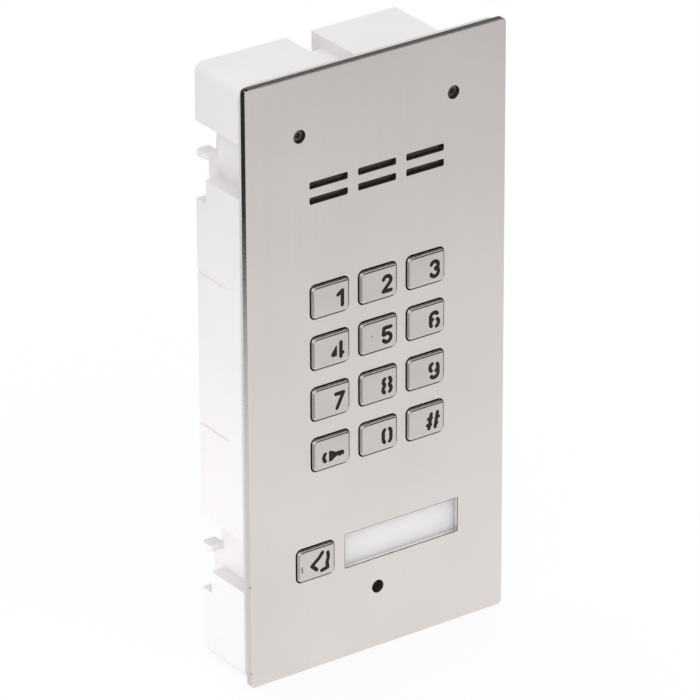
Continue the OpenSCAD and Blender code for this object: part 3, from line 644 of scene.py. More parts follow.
@dataclass(frozen=True)
class ClearFinish:
    """Clear plastic that lets the lamps' light through to what lies behind it."""

    name: str
    colour: Colour
    roughness: float
    ior: float
    cloud_density: float = 160.0
    once: float = 0.5

    def make(self) -> Material:
        """Builds the material.

        Returns:
            The material.
        """
        material, bench, shader = new_material(self.name)
        clouds = EFFECTS.place(bench, Effect.CLOUDS, Density=self.cloud_density)
        bench.fill(shader, Base_Color=(*self.colour, 1.0), Transmission_Weight=1.0, IOR=self.ior,
                   Roughness=bench.ramp(clouds.outputs["Shade"], 0.0, self.roughness))
        path = bench.add("ShaderNodeLightPath").outputs
        through = bench.add("ShaderNodeBsdfTransparent", Color=(*self.colour, 1.0))
        lit = bench.math("MAXIMUM", path["Is Shadow Ray"], path["Is Diffuse Ray"])
        scattered = bench.math("GREATER_THAN", path["Diffuse Depth"], self.once)
        mix_surfaces(bench, bench.math("MAXIMUM", lit, scattered), shader, through)
        return material


@dataclass(frozen=True)
class BoardFinish:
    """Green board with copper runs under its solder mask."""

    name: str
    colour: Colour
    run_colour: Colour
    pitch: float = 0.0025
    run_share: float = 0.18
    run_length: float = 7.0
    cloud_density: float = 90.0
    tone: float = 0.08
    gloss: tuple[float, float] = (0.25, 0.35)
    depth: float = 0.00003

    def make(self) -> Material:
        """Builds the material.

        Returns:
            The material.
        """
        material, bench, shader = new_material(self.name)
        turn = bench.add("ShaderNodeMapping", Vector=bench.spot(), Rotation=(math.radians(90.0), 0.0, 0.0))
        bricks = bench.add("ShaderNodeTexBrick", Vector=turn.outputs[0], Scale=1.0,
                           Mortar_Size=self.run_share * self.pitch, Mortar_Smooth=0.1,
                           Brick_Width=self.run_length * self.pitch, Row_Height=self.pitch)
        clouds = EFFECTS.place(bench, Effect.CLOUDS, Density=self.cloud_density)
        ground = clouded(bench, clouds, self.colour, self.tone)
        bench.fill(shader, Base_Color=bench.blend(bricks.outputs["Fac"], ground, self.run_colour),
                   Roughness=bench.ramp(clouds.outputs["Shade"], *self.gloss))
        add_relief(bench, shader, bricks.outputs["Fac"], self.depth)
        return material


Finish = SteelFinish | PlateFinish | MouldedFinish | ClearFinish | BoardFinish
WINDOW_RIM = 0.6 * MM
WINDOW_LOW, WINDOW_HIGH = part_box("name_window")
FINISHES: dict[Slot, Finish] = {
    # The plate's third colour is painted shade for the walls of its holes.
    Slot.PLATE: PlateFinish("plate steel", (0.775, 0.728, 0.705), (0.60, 0.575, 0.56), (0.16, 0.142, 0.13),
                            (WINDOW_LOW.x - WINDOW_RIM, WINDOW_LOW.z - WINDOW_RIM),
                            (WINDOW_HIGH.x + WINDOW_RIM, WINDOW_HIGH.z + WINDOW_RIM)),
    Slot.KEY: SteelFinish("key steel", (0.635, 0.595, 0.57), 0.2, along=300.0, across=5000.0,
                          depth=0.0000004, cloud=0.045, streak=0.015, cloud_density=48.0),
    Slot.GASKET: MouldedFinish("gasket foam", (0.66, 0.65, 0.64), 0.75, density=5200.0, depth=0.00004),
    Slot.BOX: MouldedFinish("box plastic", (0.885, 0.862, 0.858), 0.42, density=3200.0, depth=0.000008,
                            tone=0.012),
    Slot.RUBBER: MouldedFinish("black rubber", (0.03, 0.03, 0.03), 0.6, density=3800.0),
    Slot.ZINC: SteelFinish("zinc steel", (0.56, 0.57, 0.59), 0.32, along=900.0, across=2600.0, cloud=0.08),
    Slot.BLACKENED: SteelFinish("blackened steel", (0.2, 0.182, 0.172), 0.42, along=900.0, across=2600.0,
                                cloud=0.1),
    Slot.BRASS: SteelFinish("turned brass", (0.72, 0.56, 0.26), 0.28, along=4000.0, across=900.0),
    Slot.BLACK: MouldedFinish("black plastic", (0.025, 0.025, 0.027), 0.5),
    Slot.CORE: MouldedFinish("smoked core", (0.017, 0.0145, 0.0125), 0.6, density=3000.0, depth=0.000012,
                             specular=0.25),
    Slot.BOARD: BoardFinish("circuit board", (0.02, 0.17, 0.07), (0.05, 0.28, 0.12)),
    Slot.LAMP: MouldedFinish("lamp resin", (0.85, 0.82, 0.60), 0.25, coat=0.3),
    Slot.CLEAR: ClearFinish("clear insert", (0.995, 0.992, 0.994), 0.05, 1.49),
    Slot.CARD: MouldedFinish("name card", (0.915, 0.905, 0.912), 0.8, density=9000.0, depth=0.000006,
                             tone=0.01),
    Slot.TRAY: MouldedFinish("name tray", (0.82, 0.81, 0.76), 0.5),
    Slot.CONE: MouldedFinish("cone pulp", (0.02, 0.019, 0.017), 0.85, density=2200.0, depth=0.00004),
    Slot.MAGNET: SteelFinish("magnet iron", (0.10, 0.10, 0.105), 0.45, along=700.0, across=700.0,
                             cloud=0.1),
    Slot.RING: MouldedFinish("ring foam", (0.05, 0.05, 0.05), 0.9, density=2600.0, depth=0.00008),
    Slot.MESH: MouldedFinish("mesh cloth", (0.27, 0.23, 0.21), 0.7, density=9000.0),
    Slot.LEAD: MouldedFinish("lead sleeve", (0.40, 0.03, 0.02), 0.45),
    Slot.CAPSULE: SteelFinish("capsule metal", (0.55, 0.55, 0.56), 0.3),
    Slot.TERMINAL: MouldedFinish("terminal plastic", (0.03, 0.20, 0.08), 0.45),
    Slot.RELAY: MouldedFinish("relay plastic", (0.025, 0.07, 0.26), 0.4),
    Slot.CHIP: MouldedFinish("chip resin", (0.012, 0.012, 0.013), 0.55, density=6000.0),
    Slot.CAN: MouldedFinish("can sleeve", (0.02, 0.035, 0.12), 0.3, coat=0.2),
}
MATERIALS: dict[Slot, Material] = {slot: finish.make() for slot, finish in FINISHES.items()}


def link_mesh(name: str, mesh: Mesh) -> Piece:
    """Puts a mesh into the scene as an object at the origin.

    Args:
        name: Name of the piece.
        mesh: Its mesh, with its place in it.

    Returns:
        The object.
    """
    mesh.name = name
    piece = bpy.data.objects.new(name, mesh)
    bpy.context.scene.collection.objects.link(piece)
    return piece


def settle(piece: Piece, slot: Slot, body: str, *nodes: str) -> Piece:
    """Gives a piece its finish and ties it to the frame.

    Args:
        piece: The finished piece.
        slot: Material slot that it takes its finish from.
        body: Body that it rides on.
        nodes: Solids that it stands for.

    Returns:
        The same piece.
    """
    if not piece.data.materials:
        piece.data.materials.append(MATERIALS[slot])
    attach(piece, body)
    if nodes:
        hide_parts(*nodes)
    LOG.info("%s: %d faces on %s", piece.name, len(piece.data.polygons), body)
    return piece


def dress(slot: Slot, *nodes: str) -> None:
    """Gives solids that stay a finish.

    Args:
        slot: Material slot whose finish they take.
        nodes: Names of the solids.
    """
    for name in nodes:
        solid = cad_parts[name]
        for place in solid.material_slots:
            place.material = MATERIALS[slot]
        LOG.info("%s: solid with %s", name, slot.value)


def evaluated_mesh(piece: Piece) -> Mesh:
    """Applies a piece's modifiers.

    Args:
        piece: The piece.

    Returns:
        A new mesh.
    """
    graph = bpy.context.evaluated_depsgraph_get()
    return bpy.data.meshes.new_from_object(piece.evaluated_get(graph), depsgraph=graph)


def modified(mesh: Mesh, kind: str, **values: object) -> Mesh:
    """Runs one modifier over a mesh.

    Args:
        mesh: Mesh to start from.
        kind: Blender's name of the modifier.
        values: The modifier's settings.

    Returns:
        A new mesh.
    """
    holder = link_mesh("holder", mesh)
    modifier = holder.modifiers.new("step", kind)
    for name, value in values.items():
        setattr(modifier, name, value)
    result = evaluated_mesh(holder)
    bpy.data.objects.remove(holder)
    return result


@dataclass(frozen=True)
class Softening:
    """How the edges of a rebuilt solid are eased.

    Attributes:
        width: Width of the easing.
        segments: Its number of strips.
        angle: Angle from which an edge counts as sharp.
        merge: Distance within which points are joined.
        flat: Angle up to which triangles become one face, or 0 to keep them.
        flat_weight: How far large faces pull the shading.
        refills: Whether broad flat faces are filled afresh.
        broad: Least area of a broad face.
        pieces: Least number of triangles of a face that is filled afresh.
        side_digits: Digits to which normals are compared.
        place_digits: Digits to which the distances of planes are compared.
        turned: Cosine from which two edges count as one run.
        room_share: Most that the easing takes of a neighbouring edge.
        level: Cosine from which a face counts as lying in a plane.
        slack: Distance within which a point lies in a plane.
        inner_share: Share of the width away from the top and bottom ends.
        end_reach: Distance from an end within which the whole width is used.
        stale: Shading layers of the solid that don't hold for the new mesh.
    """

    width: float
    segments: int = 2
    angle: float = math.radians(38.0)
    merge: float = 0.000002
    flat: float = math.radians(0.3)
    flat_weight: int = 100
    refills: bool = False
    broad: float = 4.0 * MM * MM
    pieces: int = 3
    side_digits: int = 3
    place_digits: int = 5
    turned: float = 0.8
    room_share: float = 0.45
    level: float = 0.999
    slack: float = 0.007 * MM
    inner_share: float = 1.0
    end_reach: float = 2.0 * MM
    stale: tuple[str, ...] = ("custom_normal", "sharp_edge", "sharp_face")

    def merged(self, node: str) -> Mesh:
        """Copies a solid's mesh with its triangles joined, into whole faces where flat is above 0.

        Args:
            node: Name of the solid.

        Returns:
            The new mesh.
        """
        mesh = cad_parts[node].data.copy()
        mesh.materials.clear()
        shape = bmesh.new()
        shape.from_mesh(mesh)
        bmesh.ops.remove_doubles(shape, verts=shape.verts, dist=self.merge)
        if self.flat > 0.0:
            bmesh.ops.dissolve_limit(shape, angle_limit=self.flat, verts=shape.verts, edges=shape.edges)
        if self.width > 0.0:
            self.weigh(shape)
        shape.to_mesh(mesh)
        shape.free()
        for layer in [a.name for a in mesh.attributes if a.name in self.stale]:
            mesh.attributes.remove(mesh.attributes[layer])
        mesh.shade_smooth()
        return mesh

    def weigh(self, shape: bmesh.types.BMesh) -> None:
        """Gives each sharp edge its share of the easing: less beside narrow steps and away from the ends.

        Args:
            shape: The merged solid.
        """
        layer = shape.edges.layers.float.new("bevel_weight_edge")
        sharp = {e for e in shape.edges if e.is_manifold and e.calc_face_angle() > self.angle}
        low = [min(v.co[axis] for v in shape.verts) for axis in range(3)]
        high = [max(v.co[axis] for v in shape.verts) for axis in range(3)]
        for edge in sharp:
            along = (edge.verts[1].co - edge.verts[0].co).normalized()
            room = self.width / self.room_share
            for other in (o for v in edge.verts for o in v.link_edges if o in sharp and o is not edge):
                turn = (other.verts[1].co - other.verts[0].co).normalized().dot(along)
                if abs(turn) < self.turned:
                    room = min(room, other.calc_length())
            spot = (edge.verts[0].co + edge.verts[1].co) / 2.0
            beside, ended = (min(spot[axis] - low[axis], high[axis] - spot[axis]) for axis in (0, 2))
            rest = 1.0 - self.inner_share if ended < self.end_reach else 0.0
            most = self.inner_share + rest * min(1.0, beside / self.end_reach)
            edge[layer] = min(most, self.room_share * room / self.width)

    def apply(self, node: str, name: str) -> Piece:
        """Rebuilds a solid with eased edges.

        Args:
            node: Name of the solid.
            name: Name of the new piece.

        Returns:
            The new piece.
        """
        mesh = self.merged(node)
        if self.width > 0.0:
            mesh = modified(mesh, "BEVEL", width=self.width, segments=self.segments, limit_method="WEIGHT",
                            use_clamp_overlap=False, loop_slide=False, miter_outer="MITER_ARC")
        else:
            mesh.set_sharp_from_angle(angle=self.angle)
        low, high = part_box(node)
        for vert in mesh.vertices:
            vert.co = [min(max(part, least), most) for part, least, most in zip(vert.co, low, high)]
        if self.refills:
            planes = self.planes(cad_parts[node].data)
            self.refill(mesh, planes)
        mesh = modified(mesh, "WEIGHTED_NORMAL", weight=self.flat_weight, keep_sharp=True)
        if self.refills:
            self.flatten(mesh, planes)
        return link_mesh(name, mesh)

    def planes(self, mesh: Mesh) -> list[Plane]:
        """Finds the broad flat faces of a solid that are made of several triangles.

        Args:
            mesh: Mesh of the solid.

        Returns:
            Outward normal and distance from the origin of each, apart from planes with faces to both sides.
        """
        areas: dict[tuple[float, ...], float] = {}
        counts: dict[tuple[float, ...], int] = {}
        for face in mesh.polygons:
            side = tuple(round(part, self.side_digits) + 0.0 for part in face.normal)
            place = (*side, round(face.normal.dot(face.center), self.place_digits) + 0.0)
            areas[place] = areas.get(place, 0.0) + face.area
            counts[place] = counts.get(place, 0) + 1
        chosen = []
        for place in areas:
            opposite = tuple(0.0 - part for part in place)
            if areas[place] > self.broad and counts[place] >= self.pieces and opposite not in areas:
                chosen.append((Vector(place[:3]).normalized(), place[3]))
        return chosen

    def lies(self, spot: Vector, plane: Plane) -> bool:
        """Tells whether a point lies in a plane."""
        return abs(spot.dot(plane[0]) - plane[1]) < self.slack

    def refill(self, mesh: Mesh, planes: list[Plane]) -> None:
        """Fills flat faces afresh, where easing can fold thin triangles over.

        Args:
            mesh: The eased mesh.
            planes: Planes of the flat faces.
        """
        shape = bmesh.new()
        shape.from_mesh(mesh)
        for plane in planes:
            old = [f for f in shape.faces if all(self.lies(v.co, plane) for v in f.verts)]
            if len(old) < 2:
                continue
            bmesh.ops.delete(shape, geom=old, context="FACES_ONLY")
            bmesh.ops.delete(shape, geom=[e for e in shape.edges if not e.link_faces], context="EDGES")
            open_edges = [e for e in shape.edges if e.is_boundary]
            rims = [e for e in open_edges if all(self.lies(v.co, plane) for v in e.verts)]
            filled = bmesh.ops.triangle_fill(shape, edges=rims, use_beauty=True, normal=plane[0])
            for face in (item for item in filled["geom"] if isinstance(item, bmesh.types.BMFace)):
                face.smooth = True
                if face.normal.dot(plane[0]) < 0.0:
                    face.normal_flip()
        left_open = sum(e.is_boundary for e in shape.edges)
        LOG.info("%d flat faces filled, %d open edges", len(planes), left_open)
        shape.to_mesh(mesh)
        shape.free()

    def flatten(self, mesh: Mesh, planes: list[Plane]) -> None:
        """Makes flat faces and the borders of the easing beside them shade as flat.

        Args:
            mesh: The filled mesh.
            planes: Planes of the flat faces.
        """
        homes: dict[int, set[int]] = {}
        for face in mesh.polygons:
            for place, plane in enumerate(planes):
                if face.normal.dot(plane[0]) > self.level and self.lies(face.center, plane):
                    for vert in face.vertices:
                        homes.setdefault(vert, set()).add(place)
        normals = [corner.vector.copy() for corner in mesh.corner_normals]
        for loop in mesh.loops:
            home = homes.get(loop.vertex_index, set())
            if len(home) == 1:
                normals[loop.index] = planes[min(home)][0]
        mesh.normals_split_custom_set(normals)


class GeometryTree:
    """A Geometry Nodes tree with named inputs that ends in one realised mesh."""

    def __init__(self, name: str, inputs: dict[str, float]) -> None:
        """Makes the tree's sockets.

        Args:
            name: Name of the tree.
            inputs: Names of the size inputs and their values.
        """
        self.values = inputs
        self.tree = bpy.data.node_groups.new(name, "GeometryNodeTree")
        self.tree.interface.new_socket("Geometry", in_out="OUTPUT", socket_type="NodeSocketGeometry")
        for label in inputs:
            self.tree.interface.new_socket(label, in_out="INPUT", socket_type="NodeSocketFloat")
        self.tree.interface.new_socket("Finish", in_out="INPUT", socket_type="NodeSocketMaterial")
        self.bench = NodeBench(self.tree)
        self.given = self.bench.add("NodeGroupInput").outputs
        self.made = self.bench.add("NodeGroupOutput").inputs

    def close(self, geometry: Socket) -> None:
        """Ends the tree in Realize Instances and Set Material.

        Args:
            geometry: What the tree has made.
        """
        real = self.bench.add("GeometryNodeRealizeInstances", Geometry=geometry)
        finish = self.bench.add("GeometryNodeSetMaterial", Geometry=real.outputs[0],
                                Material=self.given["Finish"])
        self.bench.join(finish.outputs[0], self.made["Geometry"])

    def mesh(self, slot: Slot) -> Mesh:
        """Runs the tree.

        Args:
            slot: Material slot of the finish.

        Returns:
            A plain mesh.
        """
        holder = link_mesh("holder", bpy.data.meshes.new("holder"))
        modifier = holder.modifiers.new("tree", "NODES")
        modifier.node_group = self.tree
        for item in self.tree.interface.items_tree:
            if item.in_out == "INPUT" and item.name in self.values:
                modifier[item.identifier] = self.values[item.name]
            if item.in_out == "INPUT" and item.name == "Finish":
                modifier[item.identifier] = MATERIALS[slot]
        holder.update_tag()
        bpy.context.view_layer.update()
        mesh = evaluated_mesh(holder)
        bpy.data.objects.remove(holder)
        return mesh


@dataclass
class SteelFront:
    """The cut steel plate and the gasket behind it."""

    plate_edge: float = 0.35 * MM
    cut_share: float = 0.4
    gasket_edge: float = 0.25 * MM

    def build(self) -> None:
        """Builds and dresses both."""
        easing = Softening(self.plate_edge, flat=0.0, refills=True, inner_share=self.cut_share)
        plate = easing.apply("front_plate", "plate_sheet")
        settle(plate, Slot.PLATE, PANEL, "front_plate")
        gasket = Softening(self.gasket_edge, flat=0.0, refills=True).apply("plate_gasket", "gasket_frame")
        settle(gasket, Slot.GASKET, PANEL, "plate_gasket")


@dataclass
class Keypad:
    """Steel caps with stencil-cut legends, and the dark resin that fills the cuts."""

    cap_edge: float = 0.0
    cap_angle: float = math.radians(32.0)
    cap_flat_weight: int = 50
    inlay_recess: float = 0.1 * MM
    inlay_depth: float = 0.5 * MM
    flatness: float = 0.002 * MM
    frontal: float = 0.9999
    face_share: float = 0.3
    level_digits: int = 6

    def build(self) -> None:
        """Builds every button and dresses its core and the housing."""
        softening = Softening(self.cap_edge, angle=self.cap_angle, flat_weight=self.cap_flat_weight)
        for key in Key:
            cap = softening.apply(key.cap, f"cap_{key.value}")
            settle(cap, Slot.KEY, key.body, key.cap)
            settle(link_mesh(f"inlay_{key.value}", self.inlay(cap.data)), Slot.CORE, key.body)
            dress(Slot.CORE, key.core)
        dress(Slot.BLACK, "key_housing", "key_switches")

    def inlay(self, cap: Mesh) -> Mesh:
        """Fills the cuts in a cap's face with flat plugs, a little below the face.

        Args:
            cap: Mesh of the cap.

        Returns:
            Mesh of the plugs.
        """
        shape = bmesh.new()
        shape.from_mesh(cap)
        plugs = bmesh.new()
        for loop in self.cuts(shape):
            rim = [plugs.verts.new(point + Vector((0.0, self.inlay_recess, 0.0))) for point in loop]
            edges = [plugs.edges.new((rim[place - 1], rim[place])) for place in range(len(rim))]
            filled = bmesh.ops.triangle_fill(plugs, edges=edges, use_beauty=True)
            faces = [item for item in filled["geom"] if isinstance(item, bmesh.types.BMFace)]
            grown = bmesh.ops.extrude_face_region(plugs, geom=faces, use_keep_orig=True)
            moved = [item for item in grown["geom"] if isinstance(item, bmesh.types.BMVert)]
            bmesh.ops.translate(plugs, verts=moved, vec=(0.0, self.inlay_depth, 0.0))
        bmesh.ops.recalc_face_normals(plugs, faces=plugs.faces)
        mesh = bpy.data.meshes.new("inlay")
        plugs.to_mesh(mesh)
        plugs.free()
        shape.free()
        return mesh

    def cuts(self, shape: bmesh.types.BMesh) -> list[list[Vector]]:
        """Finds the rims of the cuts in a cap's flat face.

        Args:
            shape: The cap.

        Returns:
            One list of points for each cut.
        """
        flats = [f for f in shape.faces if f.normal.y < -self.frontal]
        sizes: dict[float, float] = {}
        for face in flats:
            level = round(face.calc_center_median().y, self.level_digits)
            sizes[level] = sizes.get(level, 0.0) + face.calc_area()
        least = self.face_share * max(sizes.values())
        level = min(y for y in sizes if sizes[y] > least)
        region = {f for f in flats if abs(f.calc_center_median().y - level) < self.flatness}
        rims = {e for f in region for e in f.edges if sum(g in region for g in e.link_faces) == 1}
        loops: list[list[Vector]] = []
        while rims:
            edge = rims.pop()
            loop = [edge.verts[0], edge.verts[1]]
            outside = next(f for f in edge.link_faces if f not in region)
            sunk = outside.calc_center_median().y > level
            while loop[-1] is not loop[0]:
                step = next(e for e in loop[-1].link_edges if e in rims)
                rims.remove(step)
                loop.append(step.other_vert(loop[-1]))
            if sunk:
                loops.append([vert.co.copy() for vert in loop[:-1]])
        widths = [max(p.x for p in loop) - min(p.x for p in loop) for loop in loops]
        loops.pop(widths.index(max(widths)))
        return loops


@dataclass
class NamePlace:
    """The clear insert, the card behind it and the tray that lights it."""

    insert_edge: float = 0.12 * MM
    card_gap: float = 0.08 * MM

    def build(self) -> None:
        """Builds and dresses the three."""
        insert = Softening(self.insert_edge).apply("name_window", "clear_insert")
        low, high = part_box("name_window")
        squeeze = Matrix.Diagonal((1.0, 1.0 - self.card_gap / (high.y - low.y), 1.0, 1.0))
        front = Matrix.Translation((0.0, low.y, 0.0))
        insert.data.transform(front @ squeeze @ front.inverted())
        settle(insert, Slot.CLEAR, PANEL, "name_window")
        dress(Slot.CARD, "name_card")
        dress(Slot.TRAY, "name_tray")


@dataclass
class SoundPlace:
    """Woven cloth behind the sound slots, the loudspeaker and the microphone."""

    pitch: float = 0.5 * MM
    wire: float = 0.09 * MM
    wave: float = 0.1 * MM
    sides: int = 4
    steps: int = 4
    width_share: float = 1.96
    height_share: float = 0.5

    def build(self) -> None:
        """Builds the cloth and dresses the rest."""
        low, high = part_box("speaker_mesh")
        middle = (low + high) / 2.0
        radius = (high.x - low.x) / 2.0
        mesh = self.cloth_tree(radius).mesh(Slot.MESH)
        mesh.transform(Matrix.Translation(middle))
        settle(link_mesh("sound_cloth", mesh), Slot.MESH, PANEL, "speaker_mesh")
        dress(Slot.ZINC, "speaker_frame", "speaker_clips")
        dress(Slot.CONE, "speaker_cone")
        dress(Slot.MAGNET, "speaker_magnet")
        dress(Slot.RING, "speaker_ring")
        dress(Slot.LEAD, "speaker_leads")
        dress(Slot.CAPSULE, "microphone")
        dress(Slot.RUBBER, "microphone_boot")

    def cloth_tree(self, radius: float) -> GeometryTree:
        """Makes the tree that weaves two sets of strands over and under each other.

        Args:
            radius: Radius of the round that the cloth covers.

        Returns:
            The tree.
        """
        sizes = {"Width": self.width_share * radius, "Height": self.height_share * radius,
                 "Pitch": self.pitch, "Wire": self.wire, "Wave": self.wave}
        tree = GeometryTree("woven cloth", sizes)
        joined = tree.bench.add("GeometryNodeJoinGeometry")
        for across in (True, False):
            tree.bench.join(self.strands(tree, across), joined.inputs[0])
        tree.close(joined.outputs[0])
        return tree

    def strands(self, tree: GeometryTree, across: bool) -> Socket:
        """Adds one set of parallel strands.

        Args:
            tree: The cloth's tree.
            across: True for the strands that run from side to side.

        Returns:
            Their geometry.
        """
        bench, given, pitch = tree.bench, tree.given, tree.given["Pitch"]
        length, span = (given["Width"], given["Height"]) if across else (given["Height"], given["Width"])
        half = bench.math("MULTIPLY", length, 0.5)
        line = bench.add("GeometryNodeCurvePrimitiveLine", End=self.level(bench, half, across),
                         Start=self.level(bench, bench.math("MULTIPLY", half, -1.0), across))
        cut = bench.add("GeometryNodeResampleCurve", mode="LENGTH", Curve=line.outputs[0],
                        Length=bench.math("MULTIPLY", pitch, 1.0 / self.steps))
        place = bench.split(bench.add("GeometryNodeInputPosition").outputs[0])
        turn = bench.math("MULTIPLY", bench.math("DIVIDE", place["X" if across else "Z"], pitch), math.pi)
        if across:
            swing = bench.math("SINE", turn)
        else:
            swing = bench.math("COSINE", bench.math("ADD", turn, math.pi))
        wave = bench.xyz(0.0, bench.math("MULTIPLY", swing, given["Wave"]), 0.0)
        wavy = bench.add("GeometryNodeSetPosition", Geometry=cut.outputs[0], Offset=wave)
        count = bench.math("FLOOR", bench.math("DIVIDE", span, pitch))
        first = bench.math("MULTIPLY", bench.math("MULTIPLY", count, pitch), -0.5)
        row = bench.add("GeometryNodeMeshLine", Count=count,
                        Start_Location=self.level(bench, first, not across),
                        Offset=self.level(bench, pitch, not across))
        spread = bench.add("GeometryNodeInstanceOnPoints", Points=row.outputs[0], Instance=wavy.outputs[0])
        odd = bench.math("MODULO", bench.add("GeometryNodeInputIndex").outputs[0], 2.0)
        shift = self.level(bench, bench.math("MULTIPLY", odd, pitch), across)
        alternate = bench.add("GeometryNodeTranslateInstances", Instances=spread.outputs[0],
                              Translation=shift)
        real = bench.add("GeometryNodeRealizeInstances", Geometry=alternate.outputs[0])
        ring = bench.add("GeometryNodeCurvePrimitiveCircle", Resolution=self.sides, Radius=given["Wire"])
        tube = bench.add("GeometryNodeCurveToMesh", Curve=real.outputs[0], Profile_Curve=ring.outputs[0],
                         Fill_Caps=True)
        return tube.outputs[0]

    @staticmethod
    def level(bench: NodeBench, length: Socket, across: bool) -> Socket:
        """Makes a vector of a length, from side to side where across is true and upwards otherwise."""
        return bench.xyz(length, 0.0, 0.0) if across else bench.xyz(0.0, 0.0, length)


@dataclass
class Fixings:
    """Screws that hold the plate, and the pads, inserts, hooks, studs and nuts behind it."""

    head_sides: int = 48
    socket_share: float = 0.52
    socket_depth: float = 0.9 * MM
    head_height: float = 1.3 * MM
    shank_share: float = 0.71
    socket_sides: int = 6
    sharp: float = math.radians(35.0)

    def build(self) -> None:
        """Builds the screws and dresses the rest."""
        low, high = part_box("fixing_screws")
        radius = (high.z - low.z) / 2.0
        spread = (high.x - low.x) / 2.0 - radius
        mesh = self.screw_tree(radius, spread, high.y - low.y).mesh(Slot.BLACKENED)
        place = Matrix.Translation((0.0, low.y, (low.z + high.z) / 2.0))
        mesh.transform(place @ Matrix.Rotation(math.radians(-90.0), 4, "X"))
        screws = link_mesh("plate_screws", mesh)
        mesh.shade_smooth()
        mesh.set_sharp_from_angle(angle=self.sharp)
        settle(screws, Slot.BLACKENED, PANEL, "fixing_screws")
        dress(Slot.ZINC, "screw_pads", "bottom_hooks", "plate_studs")
        dress(Slot.BRASS, "threaded_inserts", "stud_nuts")

    def screw_tree(self, radius: float, spread: float, length: float) -> GeometryTree:
        """Makes the tree that sets two socket-head screws side by side.

        Args:
            radius: Radius of a head.
            spread: Distance of a screw from the middle.
            length: Length of a screw with its head.

        Returns:
            The tree, with the screws' axes along Z and their heads at 0.
        """
        sizes = {"Head": radius, "Height": self.head_height, "Socket": radius * self.socket_share,
                 "Depth": self.socket_depth, "Shank": radius * self.shank_share, "Length": length,
                 "Spread": spread}
        tree = GeometryTree("socket screws", sizes)
        bench, given = tree.bench, tree.given
        head = self.rod(tree, given["Head"], given["Height"], self.head_sides)
        bite = bench.math("MULTIPLY", given["Depth"], 2.0)
        socket = self.rod(tree, given["Socket"], bite, self.socket_sides, centred=True)
        shank = self.rod(tree, given["Shank"], given["Length"], self.head_sides, start=given["Height"])
        hollow = bench.add("GeometryNodeMeshBoolean", operation="DIFFERENCE")
        bench.join(head, hollow.inputs[0])
        bench.join(socket, hollow.inputs[1])
        whole = bench.add("GeometryNodeJoinGeometry")
        bench.join(hollow.outputs[0], whole.inputs[0])
        bench.join(shank, whole.inputs[0])
        left, step = (bench.math("MULTIPLY", given["Spread"], times) for times in (-1.0, 2.0))
        pair = bench.add("GeometryNodeMeshLine", Count=2, Start_Location=bench.xyz(left, 0.0, 0.0),
                         Offset=bench.xyz(step, 0.0, 0.0))
        both = bench.add("GeometryNodeInstanceOnPoints", Points=pair.outputs[0], Instance=whole.outputs[0])
        tree.close(both.outputs[0])
        return tree

    @staticmethod
    def rod(tree: GeometryTree, radius: Socket, height: Socket, sides: int,
            start: Socket | None = None, centred: bool = False) -> Socket:
        """Adds a rod along Z.

        Args:
            tree: Tree to add to.
            radius: Its radius.
            height: Its length, or its far end where a start is given.
            sides: Number of sides.
            start: Where it begins, or None for 0.
            centred: True to leave it centred on the origin.

        Returns:
            Its mesh.
        """
        bench = tree.bench
        tall = bench.math("SUBTRACT", height, start) if start is not None else height
        rod = bench.add("GeometryNodeMeshCylinder", Vertices=sides, Radius=radius, Depth=tall)
        if centred:
            return rod.outputs["Mesh"]
        middle = bench.math("MULTIPLY_ADD", tall, 0.5, start if start is not None else 0.0)
        moved = bench.add("GeometryNodeTransform", Geometry=rod.outputs["Mesh"],
                          Translation=bench.xyz(0.0, 0.0, middle))
        return moved.outputs[0]


@dataclass
class WhiteBox:
    """The moulded box and the rubber grommet in its cable bay."""

    box_edge: float = 0.3 * MM
    grommet_edge: float = 0.35 * MM
    grommet_segments: int = 3

    def build(self) -> None:
        """Builds and dresses both."""
        box = Softening(self.box_edge, flat=0.0, refills=True).apply("back_box", "white_box")
        settle(box, Slot.BOX, PANEL, "back_box")
        easing = Softening(self.grommet_edge, segments=self.grommet_segments)
        grommet = easing.apply("cable_grommet", "rubber_grommet")
        settle(grommet, Slot.RUBBER, PANEL, "cable_grommet")


@dataclass
class Electronics:
    """The board and what it carries, inside the box."""

    def build(self) -> None:
        """Dresses every piece."""
        dress(Slot.BOARD, "circuit_board")
        dress(Slot.LAMP, "board_lights")
        dress(Slot.TERMINAL, "terminal_block")
        dress(Slot.ZINC, "terminal_screws")
        dress(Slot.RELAY, "lock_relay")
        dress(Slot.CHIP, "controller_chip", "amplifier_chip")
        dress(Slot.CAN, "capacitors")


@dataclass(frozen=True)
class Card:
    """Grey card beside the view: the steel mirrors it, or as a shading card it dims the pale pieces.

    Attributes:
        name: Name of the card.
        grey: How light it is.
        corners: Its corners, in metres.
        foot_grey: How light it is at its foot, where it fades.
        fade: Heights between which it fades.
        shading: Whether it dims instead of being mirrored.
    """

    name: str
    grey: float
    corners: list[Point]
    foot_grey: float = 0.0
    fade: tuple[float, float] = (0.0, 1.0)
    shading: bool = False


